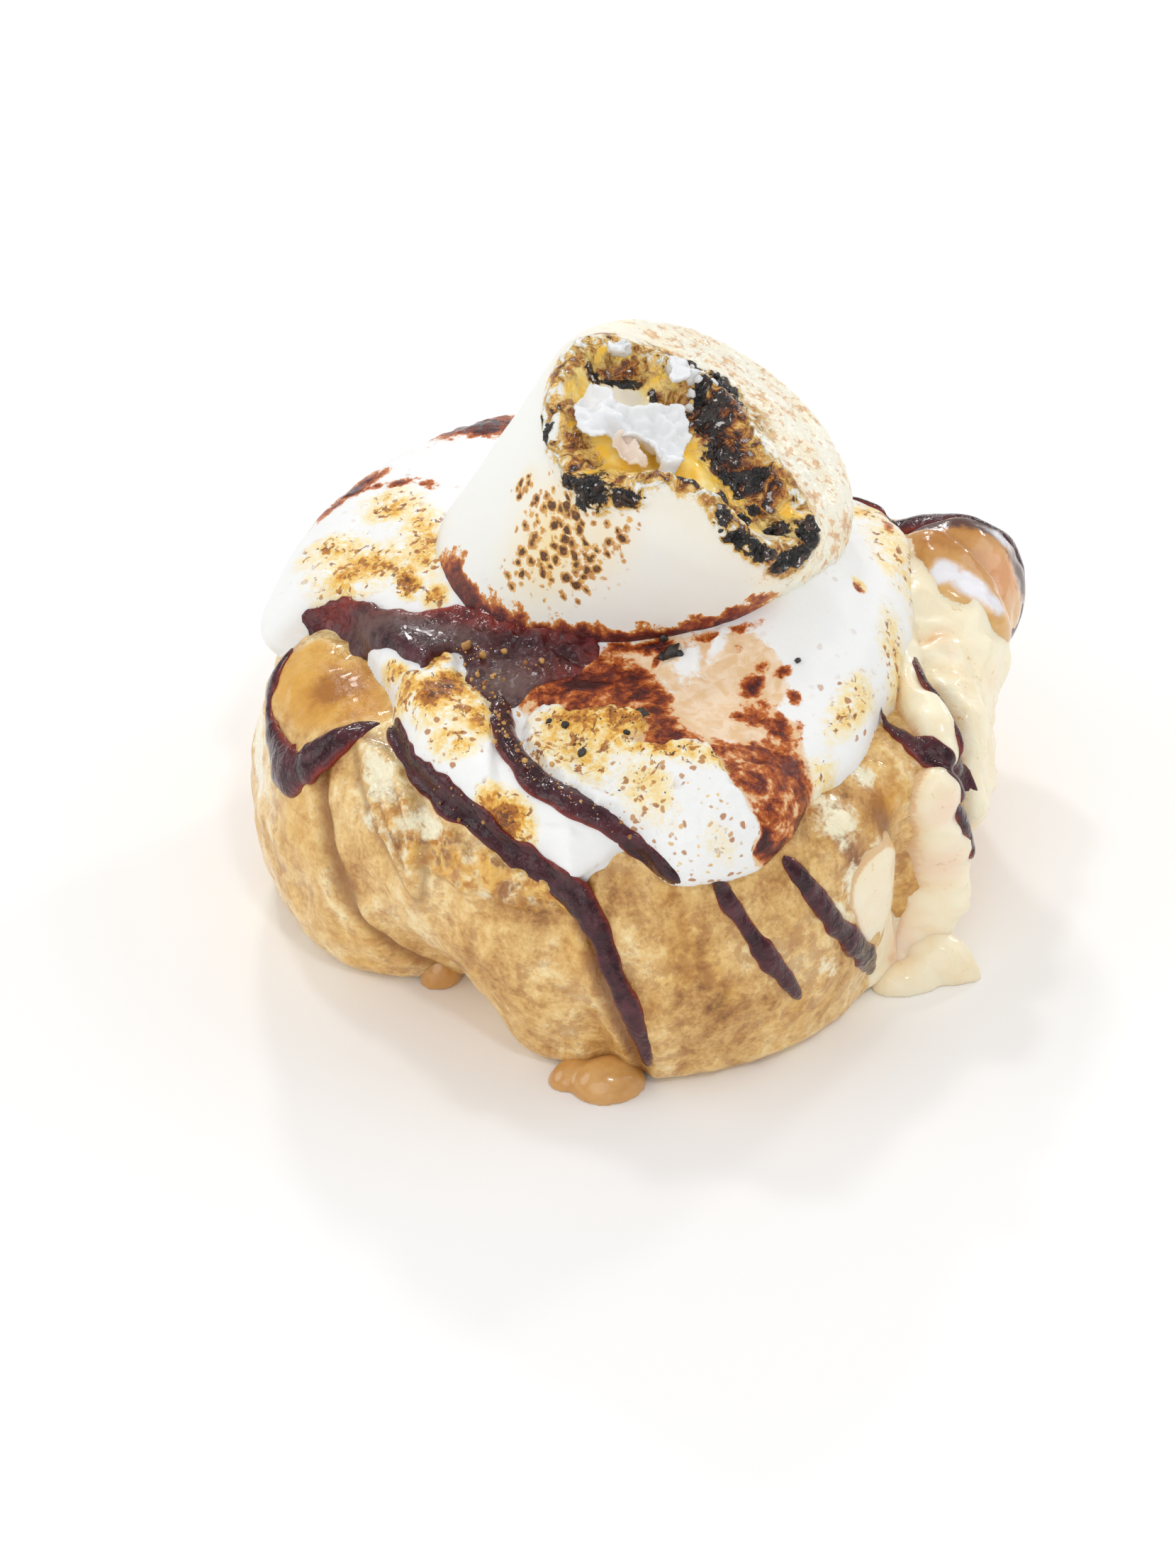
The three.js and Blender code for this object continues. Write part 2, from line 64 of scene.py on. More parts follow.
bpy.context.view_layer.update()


class Slot(Enum):
    """The record's material slots."""

    DOUGH = "dough"
    MELT = "melted_marshmallow"
    TOASTED = "toasted_marshmallow"
    SKIN = "marshmallow_skin"
    CHOCOLATE = "chocolate"
    ICING = "icing"
    GLAZE = "glaze"


# ---- small maths


def bell(offset: Array, spread: float) -> Array:
    """A bell curve: 1 at its middle, 0.37 one spread away."""
    return np.exp(-((offset / spread) ** 2))


def step(value: Array, low: float, high: float) -> Array:
    """A smooth step from 0 at low to 1 at high, which may be below low."""
    q = np.clip((value - low) / (high - low), 0, 1)
    return q * q * (3 - 2 * q)


def dome(q: Array) -> Array:
    """A rounded edge: 0 at its foot, rising as a quarter circle to 1 where q is 1."""
    return np.sqrt(np.clip(1 - (1 - q) ** 2, 0, 1))


def bulge(q: Array, full: Array | float, tuck: float) -> Array:
    """A topping's thickness, rounded inside its edge and tucked under outside it.

    Args:
        q: how far inside the edge each point lies, 1 where the rounding ends.
        full: the thickness past the rounding.
        tuck: how far it reaches under.

    Returns:
        The thickness at each point.
    """
    return np.where(q > 0, full * dome(q), np.maximum(-tuck, 3 * tuck * q))


def turn_between(a: Array, b: float) -> Array:
    """The smaller turn from b to a, in degrees, signed."""
    return (a - b + 180) % 360 - 180


def smooth_curve(points: Sequence[Sequence[float]], steps: int, closed: bool) -> Array:
    """A smooth curve through points.

    Args:
        points: the points it passes through.
        steps: how many steps it takes between two of them.
        closed: whether it returns to the first.

    Returns:
        The curve's points, one to a row.
    """
    p = np.asarray(points, float)
    ends = (p[-1:], p[:2]) if closed else (2 * p[:1] - p[1:2], 2 * p[-1:] - p[-2:-1])
    ring = np.vstack([ends[0], p, ends[1]])
    gap = np.maximum(np.linalg.norm(np.diff(ring, axis=0), axis=1) ** 0.5, 1e-3)[:, None]
    spans = len(p) if closed else len(p) - 1
    t = np.linspace(0, spans, steps * spans + 1)
    t = t[:-1] if closed else t
    k = np.minimum(t.astype(int), spans - 1)
    w = (t - k)[:, None]
    a, b, c, d = ring[k], ring[k + 1], ring[k + 2], ring[k + 3]
    g0, g1, g2 = gap[k], gap[k + 1], gap[k + 2]
    m1 = ((b - a) / g0 - (c - a) / (g0 + g1) + (c - b) / g1) * g1
    m2 = ((c - b) / g1 - (d - b) / (g1 + g2) + (d - c) / g2) * g1
    return b + m1 * w + (3 * c - 3 * b - 2 * m1 - m2) * w**2 + (2 * b - 2 * c + m1 + m2) * w**3


class Grain:
    """Seeded noise in space, for shaping surfaces."""

    def __init__(self, seed: int) -> None:
        """Draws the noise's lattice.

        Args:
            seed: what the draw starts from.
        """
        rng = np.random.default_rng(seed)
        self.order = np.tile(rng.permutation(256), 3)
        ways = rng.normal(size=(256, 3))
        self.ways = ways / np.linalg.norm(ways, axis=1, keepdims=True)
        self.spots = rng.random((256, 3))

    def _pick(self, cell: Array) -> Array:
        """The lattice entry that each cell takes."""
        c = cell & 255
        return self.order[self.order[self.order[c[:, 0]] + c[:, 1]] + c[:, 2]]

    def smooth(self, at: Array, size: float) -> Array:
        """Soft lumps of about -1 to 1.

        Args:
            at: the points, one to a row.
            size: the lumps' size.

        Returns:
            The noise at each point.
        """
        p = at / size
        base = np.floor(p).astype(int)
        f = p - base
        w = f * f * f * (f * (f * 6 - 15) + 10)
        total = np.zeros(len(at))
        for corner in itertools.product((0, 1), repeat=3):
            c = np.array(corner)
            slope = ((f - c) * self.ways[self._pick(base + c)]).sum(1)
            total += slope * np.prod(np.where(c, w, 1 - w), axis=1)
        return 1.6 * total

    def rough(self, at: Array, size: float, octaves: int = 3, fade: float = 0.5) -> Array:
        """Lumps with finer lumps on them.

        Args:
            at: the points, one to a row.
            size: the size of the largest lumps.
            octaves: how many sizes there are, each half the last.
            fade: each size's share of the last.

        Returns:
            The noise at each point, of about -1 to 1.
        """
        return sum(fade**k * self.smooth(at + 17.3 * k, size / 2**k) for k in range(octaves))

    def cells(self, at: Array, size: float) -> tuple[Array, Array]:
        """Distances to the nearest and the second nearest of scattered points.

        Args:
            at: the places, one to a row.
            size: how far apart the scattered points are.

        Returns:
            Both distances at each place, in sizes.
        """
        p = at / size
        base = np.floor(p).astype(int)
        first = np.full(len(at), 9.0)
        second = np.full(len(at), 9.0)
        for offset in itertools.product((-1, 0, 1), repeat=3):
            cell = base + np.array(offset)
            away = np.linalg.norm(cell + self.spots[self._pick(cell)] - p, axis=1)
            second = np.minimum(second, np.maximum(first, away))
            first = np.minimum(first, away)
        return first, second


@dataclass(frozen=True)
class Region:
    """A closed smooth outline on a chart."""

    outline: tuple[tuple[float, float], ...]

    @cached_property
    def line(self) -> Array:
        """The outline's points."""
        return smooth_curve(self.outline, 5, True)

    def depth(self, x: Array, y: Array) -> Array:
        """How far inside the outline each point lies, negative outside.

        Args:
            x: the points' first coordinates.
            y: the points' second coordinates.

        Returns:
            The signed distances.
        """
        nearest = np.full(x.shape, np.inf)
        inside = np.zeros(x.shape, bool)
        for (ax, ay), (bx, by) in zip(self.line, np.roll(self.line, -1, axis=0)):
            dx, dy = bx - ax, by - ay
            along = np.clip(((x - ax) * dx + (y - ay) * dy) / (dx * dx + dy * dy), 0, 1)
            nearest = np.minimum(nearest, (x - ax - along * dx) ** 2 + (y - ay - along * dy) ** 2)
            if ay != by:
                inside ^= ((ay > y) != (by > y)) & (x < dx * (y - ay) / dy + ax)
        return np.where(inside, 1, -1) * np.sqrt(nearest)


@dataclass(frozen=True)
class Dab:
    """An oval mark on a chart: middle, half lengths, turn in degrees and level."""

    x: float
    y: float
    long: float
    wide: float
    turn: float = 0
    level: float = 1

    def at(self, x: Array, y: Array) -> Array:
        """The mark's level at each point."""
        c, s = math.cos(math.radians(self.turn)), math.sin(math.radians(self.turn))
        u = (x - self.x) * c + (y - self.y) * s
        v = (y - self.y) * c - (x - self.x) * s
        return self.level * bell(u, self.long) * bell(v, self.wide)


Marks = tuple[Dab, ...]


def dabs(*rows: Sequence[float]) -> Marks:
    """Oval marks from rows of x, y, half lengths, turn and level."""
    return tuple(Dab(*row) for row in rows)


def highest(marks: Sequence[Dab], x: Array, y: Array) -> Array:
    """The highest level of several marks at each point."""
    return np.maximum.reduce([d.at(x, y) for d in marks])


# ---- the bun's form


@dataclass(frozen=True)
class Lobe:
    """A swelling of the coil: angle and spread in degrees, reach outwards, middle and spread by run."""

    angle: float
    spread: float
    reach: float
    at: float
    tall: float


@dataclass(frozen=True)
class Seam:
    """A step where one turn of dough overlaps the next: its angle at rim and foot, depth and sweep."""

    top: float
    bottom: float
    depth: float
    sweep: float


@dataclass(frozen=True)
class BunForm:
    """The coiled roll's surface, addressed by an angle in degrees and a run from the middle of its top."""

    radius: float = 39
    height: float = 29
    crown: float = 2.5
    rim: float = 7
    foot: float = 3
    belly: float = 1.4
    lobes: tuple[Lobe, ...] = (
        Lobe(196, 26, 2.5, 54, 20),
        Lobe(236, 13, -9.5, 68, 13),
        Lobe(268, 26, 2.9, 56, 22),
        Lobe(313, 13, -2.6, 62, 18),
        Lobe(319, 6, -3, 52, 9),
        Lobe(350, 20, -4.6, 52, 22),
        Lobe(21, 13, 7.2, 39.4, 8.6),
        Lobe(140, 30, -1.4, 52, 24),
    )
    seams: tuple[Seam, ...] = (
        Seam(257, 270, 3.4, -24),
        Seam(206, 229, 2.2, 20),
        Seam(309, 319, 2.6, 16),
        Seam(96, 84, 2.4, 22),
    )

    @property
    def crown_end(self) -> float:
        """The run where the rim starts."""
        return self.radius - self.rim

    @property
    def rim_end(self) -> float:
        """The run where the wall starts."""
        return self.crown_end + math.pi / 2 * self.rim

    @property
    def wall_end(self) -> float:
        """The run where the foot starts."""
        return self.rim_end + self.height - self.rim - self.foot

    @property
    def foot_end(self) -> float:
        """The run where the underside starts."""
        return self.wall_end + math.pi / 2 * self.foot

    @property
    def end(self) -> float:
        """The run of the underside's middle."""
        return self.foot_end + self.radius - self.foot

    def section(self, run: Array) -> tuple[Array, Array, Array, Array]:
        """The section before its lobes.

        Args:
            run: runs from the middle of the top.

        Returns:
            Radius, height and the outward normal's two parts.
        """
        q = run / self.crown_end
        a = np.clip((run - self.crown_end) / self.rim, 0, math.pi / 2)
        down = run - self.rim_end
        wall = self.wall_end - self.rim_end
        b = np.clip((run - self.wall_end) / self.foot, 0, math.pi / 2)
        under = np.maximum(0, self.end - run)
        zone = [run < self.crown_end, run < self.rim_end, run < self.wall_end, run < self.foot_end]
        rho = [run, self.crown_end + self.rim * np.sin(a),
               self.radius + self.belly * np.sin(math.pi * down / wall),
               self.radius - self.foot * (1 - np.cos(b))]
        z = [self.height + self.crown * (1 - q * q), self.height - self.rim * (1 - np.cos(a)),
             self.height - self.rim - down, self.foot * (1 - np.sin(b))]
        out = [0.16 * q, 0.16 + 0.84 * np.sin(a), np.ones_like(run), np.ones_like(run)]
        up = [np.ones_like(run), np.cos(a), np.zeros_like(run), np.zeros_like(run)]
        base = under / (self.radius - self.foot)
        return (np.select(zone, rho, under), np.select(zone, z, 0.0), np.select(zone, out, base),
                np.select(zone, up, 0.0))

    def fall(self, run: Array) -> Array:
        """How far down the side a run is: 0 at the crown's edge, 1 at the foot."""
        return np.clip((run - self.crown_end) / (self.wall_end - self.crown_end), 0, 1)

    def past(self, seam: Seam, angle: Array, run: Array) -> Array:
        """How many degrees past a seam a point is, on the side its sweep goes."""
        line = seam.top + (seam.bottom - seam.top) * self.fall(run)
        return turn_between(angle, line) * math.copysign(1, seam.sweep)

    def reach(self, angle: Array, run: Array) -> Array:
        """How far the lobes and seams move the surface outwards."""
        out = np.zeros_like(run)
        for lobe in self.lobes:
            out += lobe.reach * bell(turn_between(angle, lobe.angle), lobe.spread) * bell(run - lobe.at,
                lobe.tall)
        for seam in self.seams:
            q = self.past(seam, angle, run) / abs(seam.sweep)
            sunk = np.sqrt(self.fall(run)) * step(q * 4, 0, 1) * (1 - np.clip(q, 0, 1)) ** 2
            out -= np.where((q > 0) & (q < 1), seam.depth * sunk, 0)
        return out

    def place(self, angle: Array, run: Array, lift: Array | float = 0.0) -> Array:
        """Points on the bun.

        Args:
            angle: angles in degrees.
            run: runs from the middle of the top.
            lift: how far each point is raised off the section.

        Returns:
            The points, one to a row. The foot only moves outwards.
        """
        rho, z, out, up = self.section(run)
        move = lift + self.reach(angle, np.minimum(run, self.foot_end))
        far = rho + move * out
        turn = np.radians(angle)
        return np.stack([far * np.cos(turn), far * np.sin(turn), z + move * up], axis=-1)

    def lay(self, x: Array, y: Array, lift: Array | float = 0.0) -> Array:
        """The same from a point of the unrolled top."""
        return self.place(np.degrees(np.arctan2(y, x)), np.hypot(x, y), lift)


BUN = BunForm()


def frame_shift() -> Array:
    """How far the CAD's origin is from the bun's own, from the roll's box."""
    turns, runs = np.meshgrid(np.arange(56) * 360 / 56, [22.0, *np.linspace(BUN.crown_end, BUN.foot_end, 60)])
    own = BUN.place(turns.ravel(), runs.ravel())
    low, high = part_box("roll")
    return np.array([*((Vector(low) + Vector(high)) / 2 / MM).xy, 0]) - np.array(
        [*((own.min(0) + own.max(0)) / 2)[:2], 0])


SHIFT = frame_shift()


# ---- shader graphs


class Sock:
    """A number in a shader graph that takes part in Python sums."""

    def __init__(self, graph: "Graph", socket: NodeSocket) -> None:
        """Wraps a socket of a graph."""
        self.graph = graph
        self.socket = socket

    def __add__(self, other: "Sock | float") -> "Sock":
        """The sum."""
        return self.graph.math("ADD", self, other)

    def __sub__(self, other: "Sock | float") -> "Sock":
        """The difference."""
        return self.graph.math("SUBTRACT", self, other)

    def __rsub__(self, other: "Sock | float") -> "Sock":
        """The difference, reflected."""
        return self.graph.math("SUBTRACT", other, self)

    def __mul__(self, other: "Sock | float") -> "Sock":
        """The product."""
        return self.graph.math("MULTIPLY", self, other)

    __radd__ = __add__
    __rmul__ = __mul__

    def over(self, other: "Sock | float") -> "Sock":
        """The higher of the two."""
        return self.graph.math("MAXIMUM", self, other)

    def held(self) -> "Sock":
        """The number kept between 0 and 1."""
        return self.graph.math("ADD", self, 0.0, clamp=True)

    def step(self, low: float, high: float) -> "Sock":
        """A smooth step from 0 at low to 1 at high."""
        made = self.graph.node("ShaderNodeMapRange", {"interpolation_type": "SMOOTHSTEP"},
                               {"Value": self, "From Min": low, "From Max": high})
        return Sock(self.graph, made.outputs[0])

    def swing(self, amount: float) -> "Sock":
        """How far a noise is from its middle, times an amount."""
        return (self - 0.5) * amount

    def frayed(self, noise: "Sock", amount: float) -> "Sock":
        """The level with a noise added, where it isn't nearly nothing."""
        return self + noise.swing(amount) * self.step(0, 0.3)


@dataclass(frozen=True)
class Sink:
    """How light sinks in: its share, each colour's reach, and the reach's scale in millimetres."""

    share: float
    reach: tuple[float, float, float]
    scale: float


class Graph:
    """A material's nodes, around one surface shader."""

    def __init__(self, name: str) -> None:
        """Starts a material.

        Args:
            name: the material's name.
        """
        self.material = bpy.data.materials.new(name)
        self.material.use_nodes = True
        self.tree = self.material.node_tree
        self.shader = self.tree.nodes["Principled BSDF"]
        self.place = self.node("ShaderNodeTexCoord").outputs["Object"]
        self.base: Sock | None = None

    def node(self, kind: str, settings: dict | None = None, inputs: dict | None = None) -> Node:
        """Adds a node.

        Args:
            kind: the node's type.
            settings: its own settings, where stops are a ramp's positions and colours.
            inputs: values or links by socket name or number.

        Returns:
            The node.
        """
        made = self.tree.nodes.new(kind)
        for key, value in (settings or {}).items():
            if key == "stops":
                self._set_stops(made.color_ramp, value)
            else:
                setattr(made, key, value)
        for key, value in (inputs or {}).items():
            self.feed(made.inputs[key], value)
        return made

    def feed(self, socket: NodeSocket, value: object) -> None:
        """Links a value to a socket or sets it, with a colour made opaque."""
        if isinstance(value, (Sock, NodeSocket)):
            self.tree.links.new(getattr(value, "socket", value), socket)
        else:
            socket.default_value = (*value, 1) if socket.type == "RGBA" else value

    @staticmethod
    def _set_stops(ramp: ColorRamp, stops: Sequence[tuple[float, Colour]]) -> None:
        """Sets a ramp's stops in order."""
        while len(ramp.elements) < len(stops):
            ramp.elements.new(0.5)
        for element, (place, colour) in zip(ramp.elements, stops):
            element.position = place
            element.color = (*colour, 1)

    def math(self, operation: str, a: Sock | float, b: Sock | float, clamp: bool = False) -> Sock:
        """A Math node's result."""
        made = self.node("ShaderNodeMath", {"operation": operation, "use_clamp": clamp}, {0: a, 1: b})
        return Sock(self, made.outputs[0])

    def marks(self, *names: str) -> list[Sock]:
        """The piece's own attributes of those names."""
        made = [self.node("ShaderNodeAttribute", {"attribute_name": name}) for name in names]
        return [Sock(self, node.outputs["Fac"]) for node in made]

    def spot(self, seed: float, stretch: tuple[float, float, float] = (1, 1, 1)) -> NodeSocket:
        """Object coordinates moved by a seed and stretched."""
        location = (seed, 0.7 * seed, 0.3 * seed)
        made = self.node("ShaderNodeMapping", None,
                         {"Vector": self.place, "Location": location, "Scale": stretch})
        return made.outputs[0]

    def noise(self, size: float, detail: float = 2, rough: float = 0.55, seed: float = 0, warp: float = 0,
              stretch: tuple[float, float, float] = (1, 1, 1)) -> Sock:
        """Soft noise of 0 to 1.

        Args:
            size: the size of its lumps in millimetres.
            detail: how many finer sizes it has.
            rough: each finer size's share.
            seed: moves the pattern.
            warp: how far it is pulled about.
            stretch: its scale along each axis.

        Returns:
            The noise.
        """
        made = self.node("ShaderNodeTexNoise", None, {"Vector": self.spot(seed, stretch),
                                                      "Scale": 1 / (size * MM), "Detail": detail,
                                                      "Roughness": rough, "Distortion": warp})
        return Sock(self, made.outputs[0])

    def cells(self, size: float, warp: NodeSocket, loose: float = 1) -> tuple[Sock, Sock]:
        """Scattered points.

        Args:
            size: how far apart they are in millimetres.
            warp: the coordinates to read.
            loose: how far from a lattice they are scattered.

        Returns:
            The distance in sizes, and a number that each point has of its own.
        """
        made = self.node("ShaderNodeTexVoronoi", {"feature": "F1"},
                         {"Vector": warp, "Scale": 1 / (size * MM), "Randomness": loose})
        split = self.node("ShaderNodeSeparateColor", None, {0: made.outputs["Color"]})
        return Sock(self, made.outputs["Distance"]), Sock(self, split.outputs[0])

    def vector(self, operation: str, inputs: dict) -> NodeSocket:
        """A Vector Math node's result."""
        return self.node("ShaderNodeVectorMath", {"operation": operation}, inputs).outputs[0]

    def warped(self, size: float, far: float, seed: float = 0) -> NodeSocket:
        """Object coordinates pulled about by noise of a size, as far as so many millimetres."""
        pull = self.node("ShaderNodeTexNoise", None,
                         {"Vector": self.spot(seed), "Scale": 1 / (size * MM), "Detail": 1})
        centred = self.vector("SUBTRACT", {0: pull.outputs["Color"], 1: (0.5, 0.5, 0.5)})
        scaled = self.vector("SCALE", {0: centred, "Scale": 2 * far * MM})
        return self.vector("ADD", {0: scaled, 1: self.place})

    def mix(self, factor: Sock | float, a: Sock | Colour, b: Sock | Colour) -> Sock:
        """A colour between two."""
        made = self.node("ShaderNodeMix", {"data_type": "RGBA", "blend_type": "MIX", "clamp_factor": True},
                         {0: factor, 6: a, 7: b})
        return Sock(self, made.outputs[2])

    def lay(self, factor: Sock | float, colour: Sock | Colour) -> None:
        """Lays a colour over the base, as thickly as the factor says."""
        self.base = self.mix(factor, self.base, colour)

    def ramp(self, value: Sock, stops: Sequence[tuple[float, Colour]]) -> Sock:
        """A colour by a number."""
        return Sock(self, self.node("ShaderNodeValToRGB", {"stops": stops}, {0: value}).outputs[0])

    def bump(self, *layers: tuple[Sock, float]) -> NodeSocket:
        """Fine relief.

        Args:
            layers: heights of 0 to 1, each with its depth in millimetres.

        Returns:
            The normal that they give.
        """
        normal = None
        for height, deep in layers:
            inputs = {"Height": height, "Distance": deep * MM, "Strength": 1.0}
            if normal is not None:
                inputs["Normal"] = normal
            normal = self.node("ShaderNodeBump", None, inputs).outputs[0]
        return normal

    def surface(self, sink: Sink | None = None, **sockets: object) -> Material:
        """Sets the surface shader's sockets and returns the material.

        Args:
            sink: how light sinks in, where it does.
            sockets: values or links by socket name, with _ for a space.

        Returns:
            The material.
        """
        if sink:
            sockets.update(Subsurface_Weight=sink.share, Subsurface_Radius=sink.reach,
                           Subsurface_Scale=sink.scale * MM)
        for key, value in sockets.items():
            self.feed(self.shader.inputs[key.replace("_", " ")], value)
        return self.material


# ---- finishes


@dataclass(frozen=True)
class DoughFinish:
    """Baked, glazed dough. Reads brown, which carries painted shade as well as browning, crease, gold, pale,
    which carries painted highlights as well as sugar, and crumb.
    """

    dark: Colour = (0.2, 0.085, 0.025)
    brown: Colour = (0.46, 0.22, 0.06)
    tan: Colour = (0.66, 0.39, 0.13)
    light: Colour = (0.82, 0.55, 0.22)
    pale: Colour = (0.94, 0.77, 0.43)
    baked: Colour = (0.27, 0.11, 0.03)
    sugar: Colour = (0.92, 0.84, 0.6)
    sink: Sink = Sink(0.12, (1.0, 0.5, 0.25), 2)

    def dress(self) -> Material:
        """The material."""
        g = Graph("dough")
        brown, crease, gold, pale, crumb = g.marks("brown", "crease", "gold", "pale", "crumb")
        wide = g.noise(9.0, 2, 0.5)
        drawn = g.noise(3.4, 3, 0.55, seed=0.9, warp=0.3, stretch=(1, 1, 0.4))
        middle = g.noise(1.7, 3, 0.6, seed=0.3, warp=0.4)
        fine = g.noise(0.45, 2, 0.65, seed=0.6)
        tone = wide.swing(0.9) + drawn.swing(0.9) + middle.swing(0.9) + fine.swing(0.5) + 0.67 - brown * 0.55
        stops = [(0.05, self.dark), (0.25, self.brown), (0.47, self.tan), (0.68, self.light),
                 (0.95, self.pale)]
        g.base = g.ramp(tone.held(), stops)
        toasted = g.noise(6.5, 2, 0.5, seed=1.3, stretch=(1, 1, 0.6)).step(0.5, 0.68) * (0.34 + crumb * 0.4)
        g.lay(toasted, g.mix(middle.step(0.35, 0.65), (0.58, 0.26, 0.035), (0.84, 0.5, 0.11)))
        flecked = g.noise(2.0, 4, 0.7, seed=2.1)
        specks = (flecked + wide.swing(0.3) + brown * 0.2 - 0.06).step(0.5, 0.62) * (1 - gold)
        g.lay(specks * 0.45, g.mix(fine.step(0.4, 0.6), (0.44, 0.18, 0.05), (0.32, 0.12, 0.035)))
        flaky = g.noise(2.4, 3, 0.6, seed=3.3, warp=0.6)
        glassy = crumb * (flaky * 0.7 + wide * 0.3).step(0.44, 0.54)
        g.lay(glassy * 0.9, g.mix(middle.step(0.35, 0.6), (0.52, 0.2, 0.02), (0.86, 0.5, 0.1)))
        # Painted shade: dark brown in the recesses between the crust's flakes.
        crust_recess_shade = crumb * (0.46 - flaky).step(0.0, 0.1)
        g.lay(crust_recess_shade * 0.8, (0.3, 0.1, 0.015))
        bright = crumb * (drawn * 0.6 + middle * 0.4).step(0.54, 0.62)
        g.lay(bright * 0.8, (0.95, 0.8, 0.5))
        golden = g.ramp((middle * 0.5 + wide * 0.5 + 0.06 - brown * 0.6).held(),
                        [(0.14, (0.42, 0.16, 0.02)), (0.34, (0.62, 0.29, 0.04)), (0.52, (0.74, 0.4, 0.075)),
                        (0.72, (0.84, 0.56, 0.17))])
        g.lay(gold, golden)
        deep = (crease + middle.swing(0.5) * crease).held()
        g.lay(deep * 0.75, self.baked)
        # Whitish marks: bits of sugar and icing, and painted highlights where the dough is wet.
        g.lay(pale.step(0.85, 1.15), (0.88, 0.85, 0.76))
        frost_and_highlight = (pale.frayed(middle, 1.3) + fine.swing(0.4) * pale.step(0, 0.3)).step(0.3, 0.75)
        g.lay(frost_and_highlight, self.sugar)
        sticky = wide.step(0.45, 0.65) * 0.5
        wet = (0.15 + sticky + drawn.step(0.5, 0.65) * 0.3 + crumb * 0.7 + frost_and_highlight * 0.4).held()
        rough = (0.48 - wet * 0.36 + fine.swing(0.12)).held()
        normal = g.bump((drawn, 0.5), (middle, 0.3), (fine, 0.08), (flaky * crumb, 0.7))
        return g.surface(self.sink, Base_Color=g.base, Roughness=rough, Coat_Weight=wet * 0.5,
                         Coat_Roughness=0.08, Normal=normal, Specular_IOR_Level=0.4)


@dataclass(frozen=True)
class MeltFinish:
    """Melted marshmallow, toasted and smeared. Reads toast, sponge, smear, blush and char."""

    white: Colour = (0.9, 0.905, 0.895)
    cream: Colour = (0.94, 0.8, 0.48)
    golden: Colour = (0.88, 0.55, 0.12)
    amber: Colour = (0.64, 0.25, 0.025)
    scorched: Colour = (0.14, 0.05, 0.016)
    sauce: Colour = (0.17, 0.02, 0.006)
    thin_sauce: Colour = (0.42, 0.085, 0.01)
    blush: Colour = (0.8, 0.53, 0.28)
    sink: Sink = Sink(0.2, (1.0, 0.8, 0.6), 2.5)

    def dress(self) -> Material:
        """The material."""
        g = Graph("melted_marshmallow")
        toast, sponge, smear, blush, char = g.marks("toast", "sponge", "smear", "blush", "char")
        wide = g.noise(3.2, 2, 0.5, seed=1.1)
        middle = g.noise(1.5, 3, 0.6, seed=0.2, warp=0.5)
        fine = g.noise(0.55, 3, 0.7, seed=0.5)
        near = toast.step(0.02, 0.35)
        uneven = wide.swing(0.8) + middle.swing(0.9) + fine.swing(0.9)
        heat = toast + uneven * near * (0.55 + toast) - 0.02
        g.base = g.ramp(heat.held(), [(0.08, self.white), (0.2, self.cream), (0.4, self.golden),
                                      (0.62, self.amber), (0.86, self.scorched)])
        # Tan pinholes where it has puffed up.
        pit, own = g.cells(0.95, g.warped(0.8, 0.3, 0.1))
        hole = (0.12 + own * 0.34 - pit).step(0, 0.14) * (own + sponge * 0.9 - 0.92).step(0.0, 0.2)
        g.lay(hole * 0.85, g.mix(own.step(0.4, 0.9), (0.86, 0.58, 0.2), (0.46, 0.17, 0.03)))
        # A blush of thin sauce, torn into fibres.
        fibre = g.noise(1.3, 3, 0.65, seed=0.8, warp=1.0)
        veil = blush.step(0, 0.3)
        blushed = (blush + fibre.swing(1.3) * veil + fine.swing(0.3) * veil).step(0.22, 0.66)
        g.lay(blushed * 0.95, g.mix(middle.step(0.35, 0.65), self.blush, (0.9, 0.7, 0.5)))
        near = smear.step(0, 0.3)
        film = (smear - 0.04 + (wide.swing(1.2) + middle.swing(1.3) + fine.swing(0.7)) * near).held()
        streak = g.ramp(film, [(0.14, (0.84, 0.46, 0.2)), (0.28, (0.66, 0.22, 0.045)),
                               (0.44, self.thin_sauce), (0.64, self.sauce), (0.88, (0.05, 0.006, 0.006))])
        g.lay(film.step(0.1, 0.36), streak)
        sear = g.noise(1.15, 3, 0.62, seed=1.4, warp=0.5)
        seared = (sear - 0.5 + (heat.held() - 1) * 0.15).step(-0.04, 0.01)
        g.lay(seared * toast.step(0.08, 0.22) * 0.92,
              g.mix(fine.step(0.4, 0.6), (0.24, 0.065, 0.01), (0.5, 0.19, 0.03)))
        speck = g.noise(1.0, 3, 0.7, seed=0.9, warp=0.6)
        flecks = (speck - 0.5 + (char - 1) * 0.13).step(0.03, 0.065) * char.step(0.02, 0.2)
        g.lay(flecks * 0.95, g.mix(fine.step(0.4, 0.6), (0.03, 0.012, 0.007), (0.14, 0.04, 0.012)))
        rough = 0.5 - film.step(0.3, 0.6) * 0.34 - toast * 0.2 + fine.swing(0.1)
        normal = g.bump((middle * (0.5 + film), 0.2), (fine * (0.3 + toast + sponge + film), 0.12))
        return g.surface(self.sink, Base_Color=g.base, Roughness=rough.held(),
                         Coat_Weight=(toast * 0.2).held(), Coat_Roughness=0.08, Normal=normal,
                         Specular_IOR_Level=0.3)


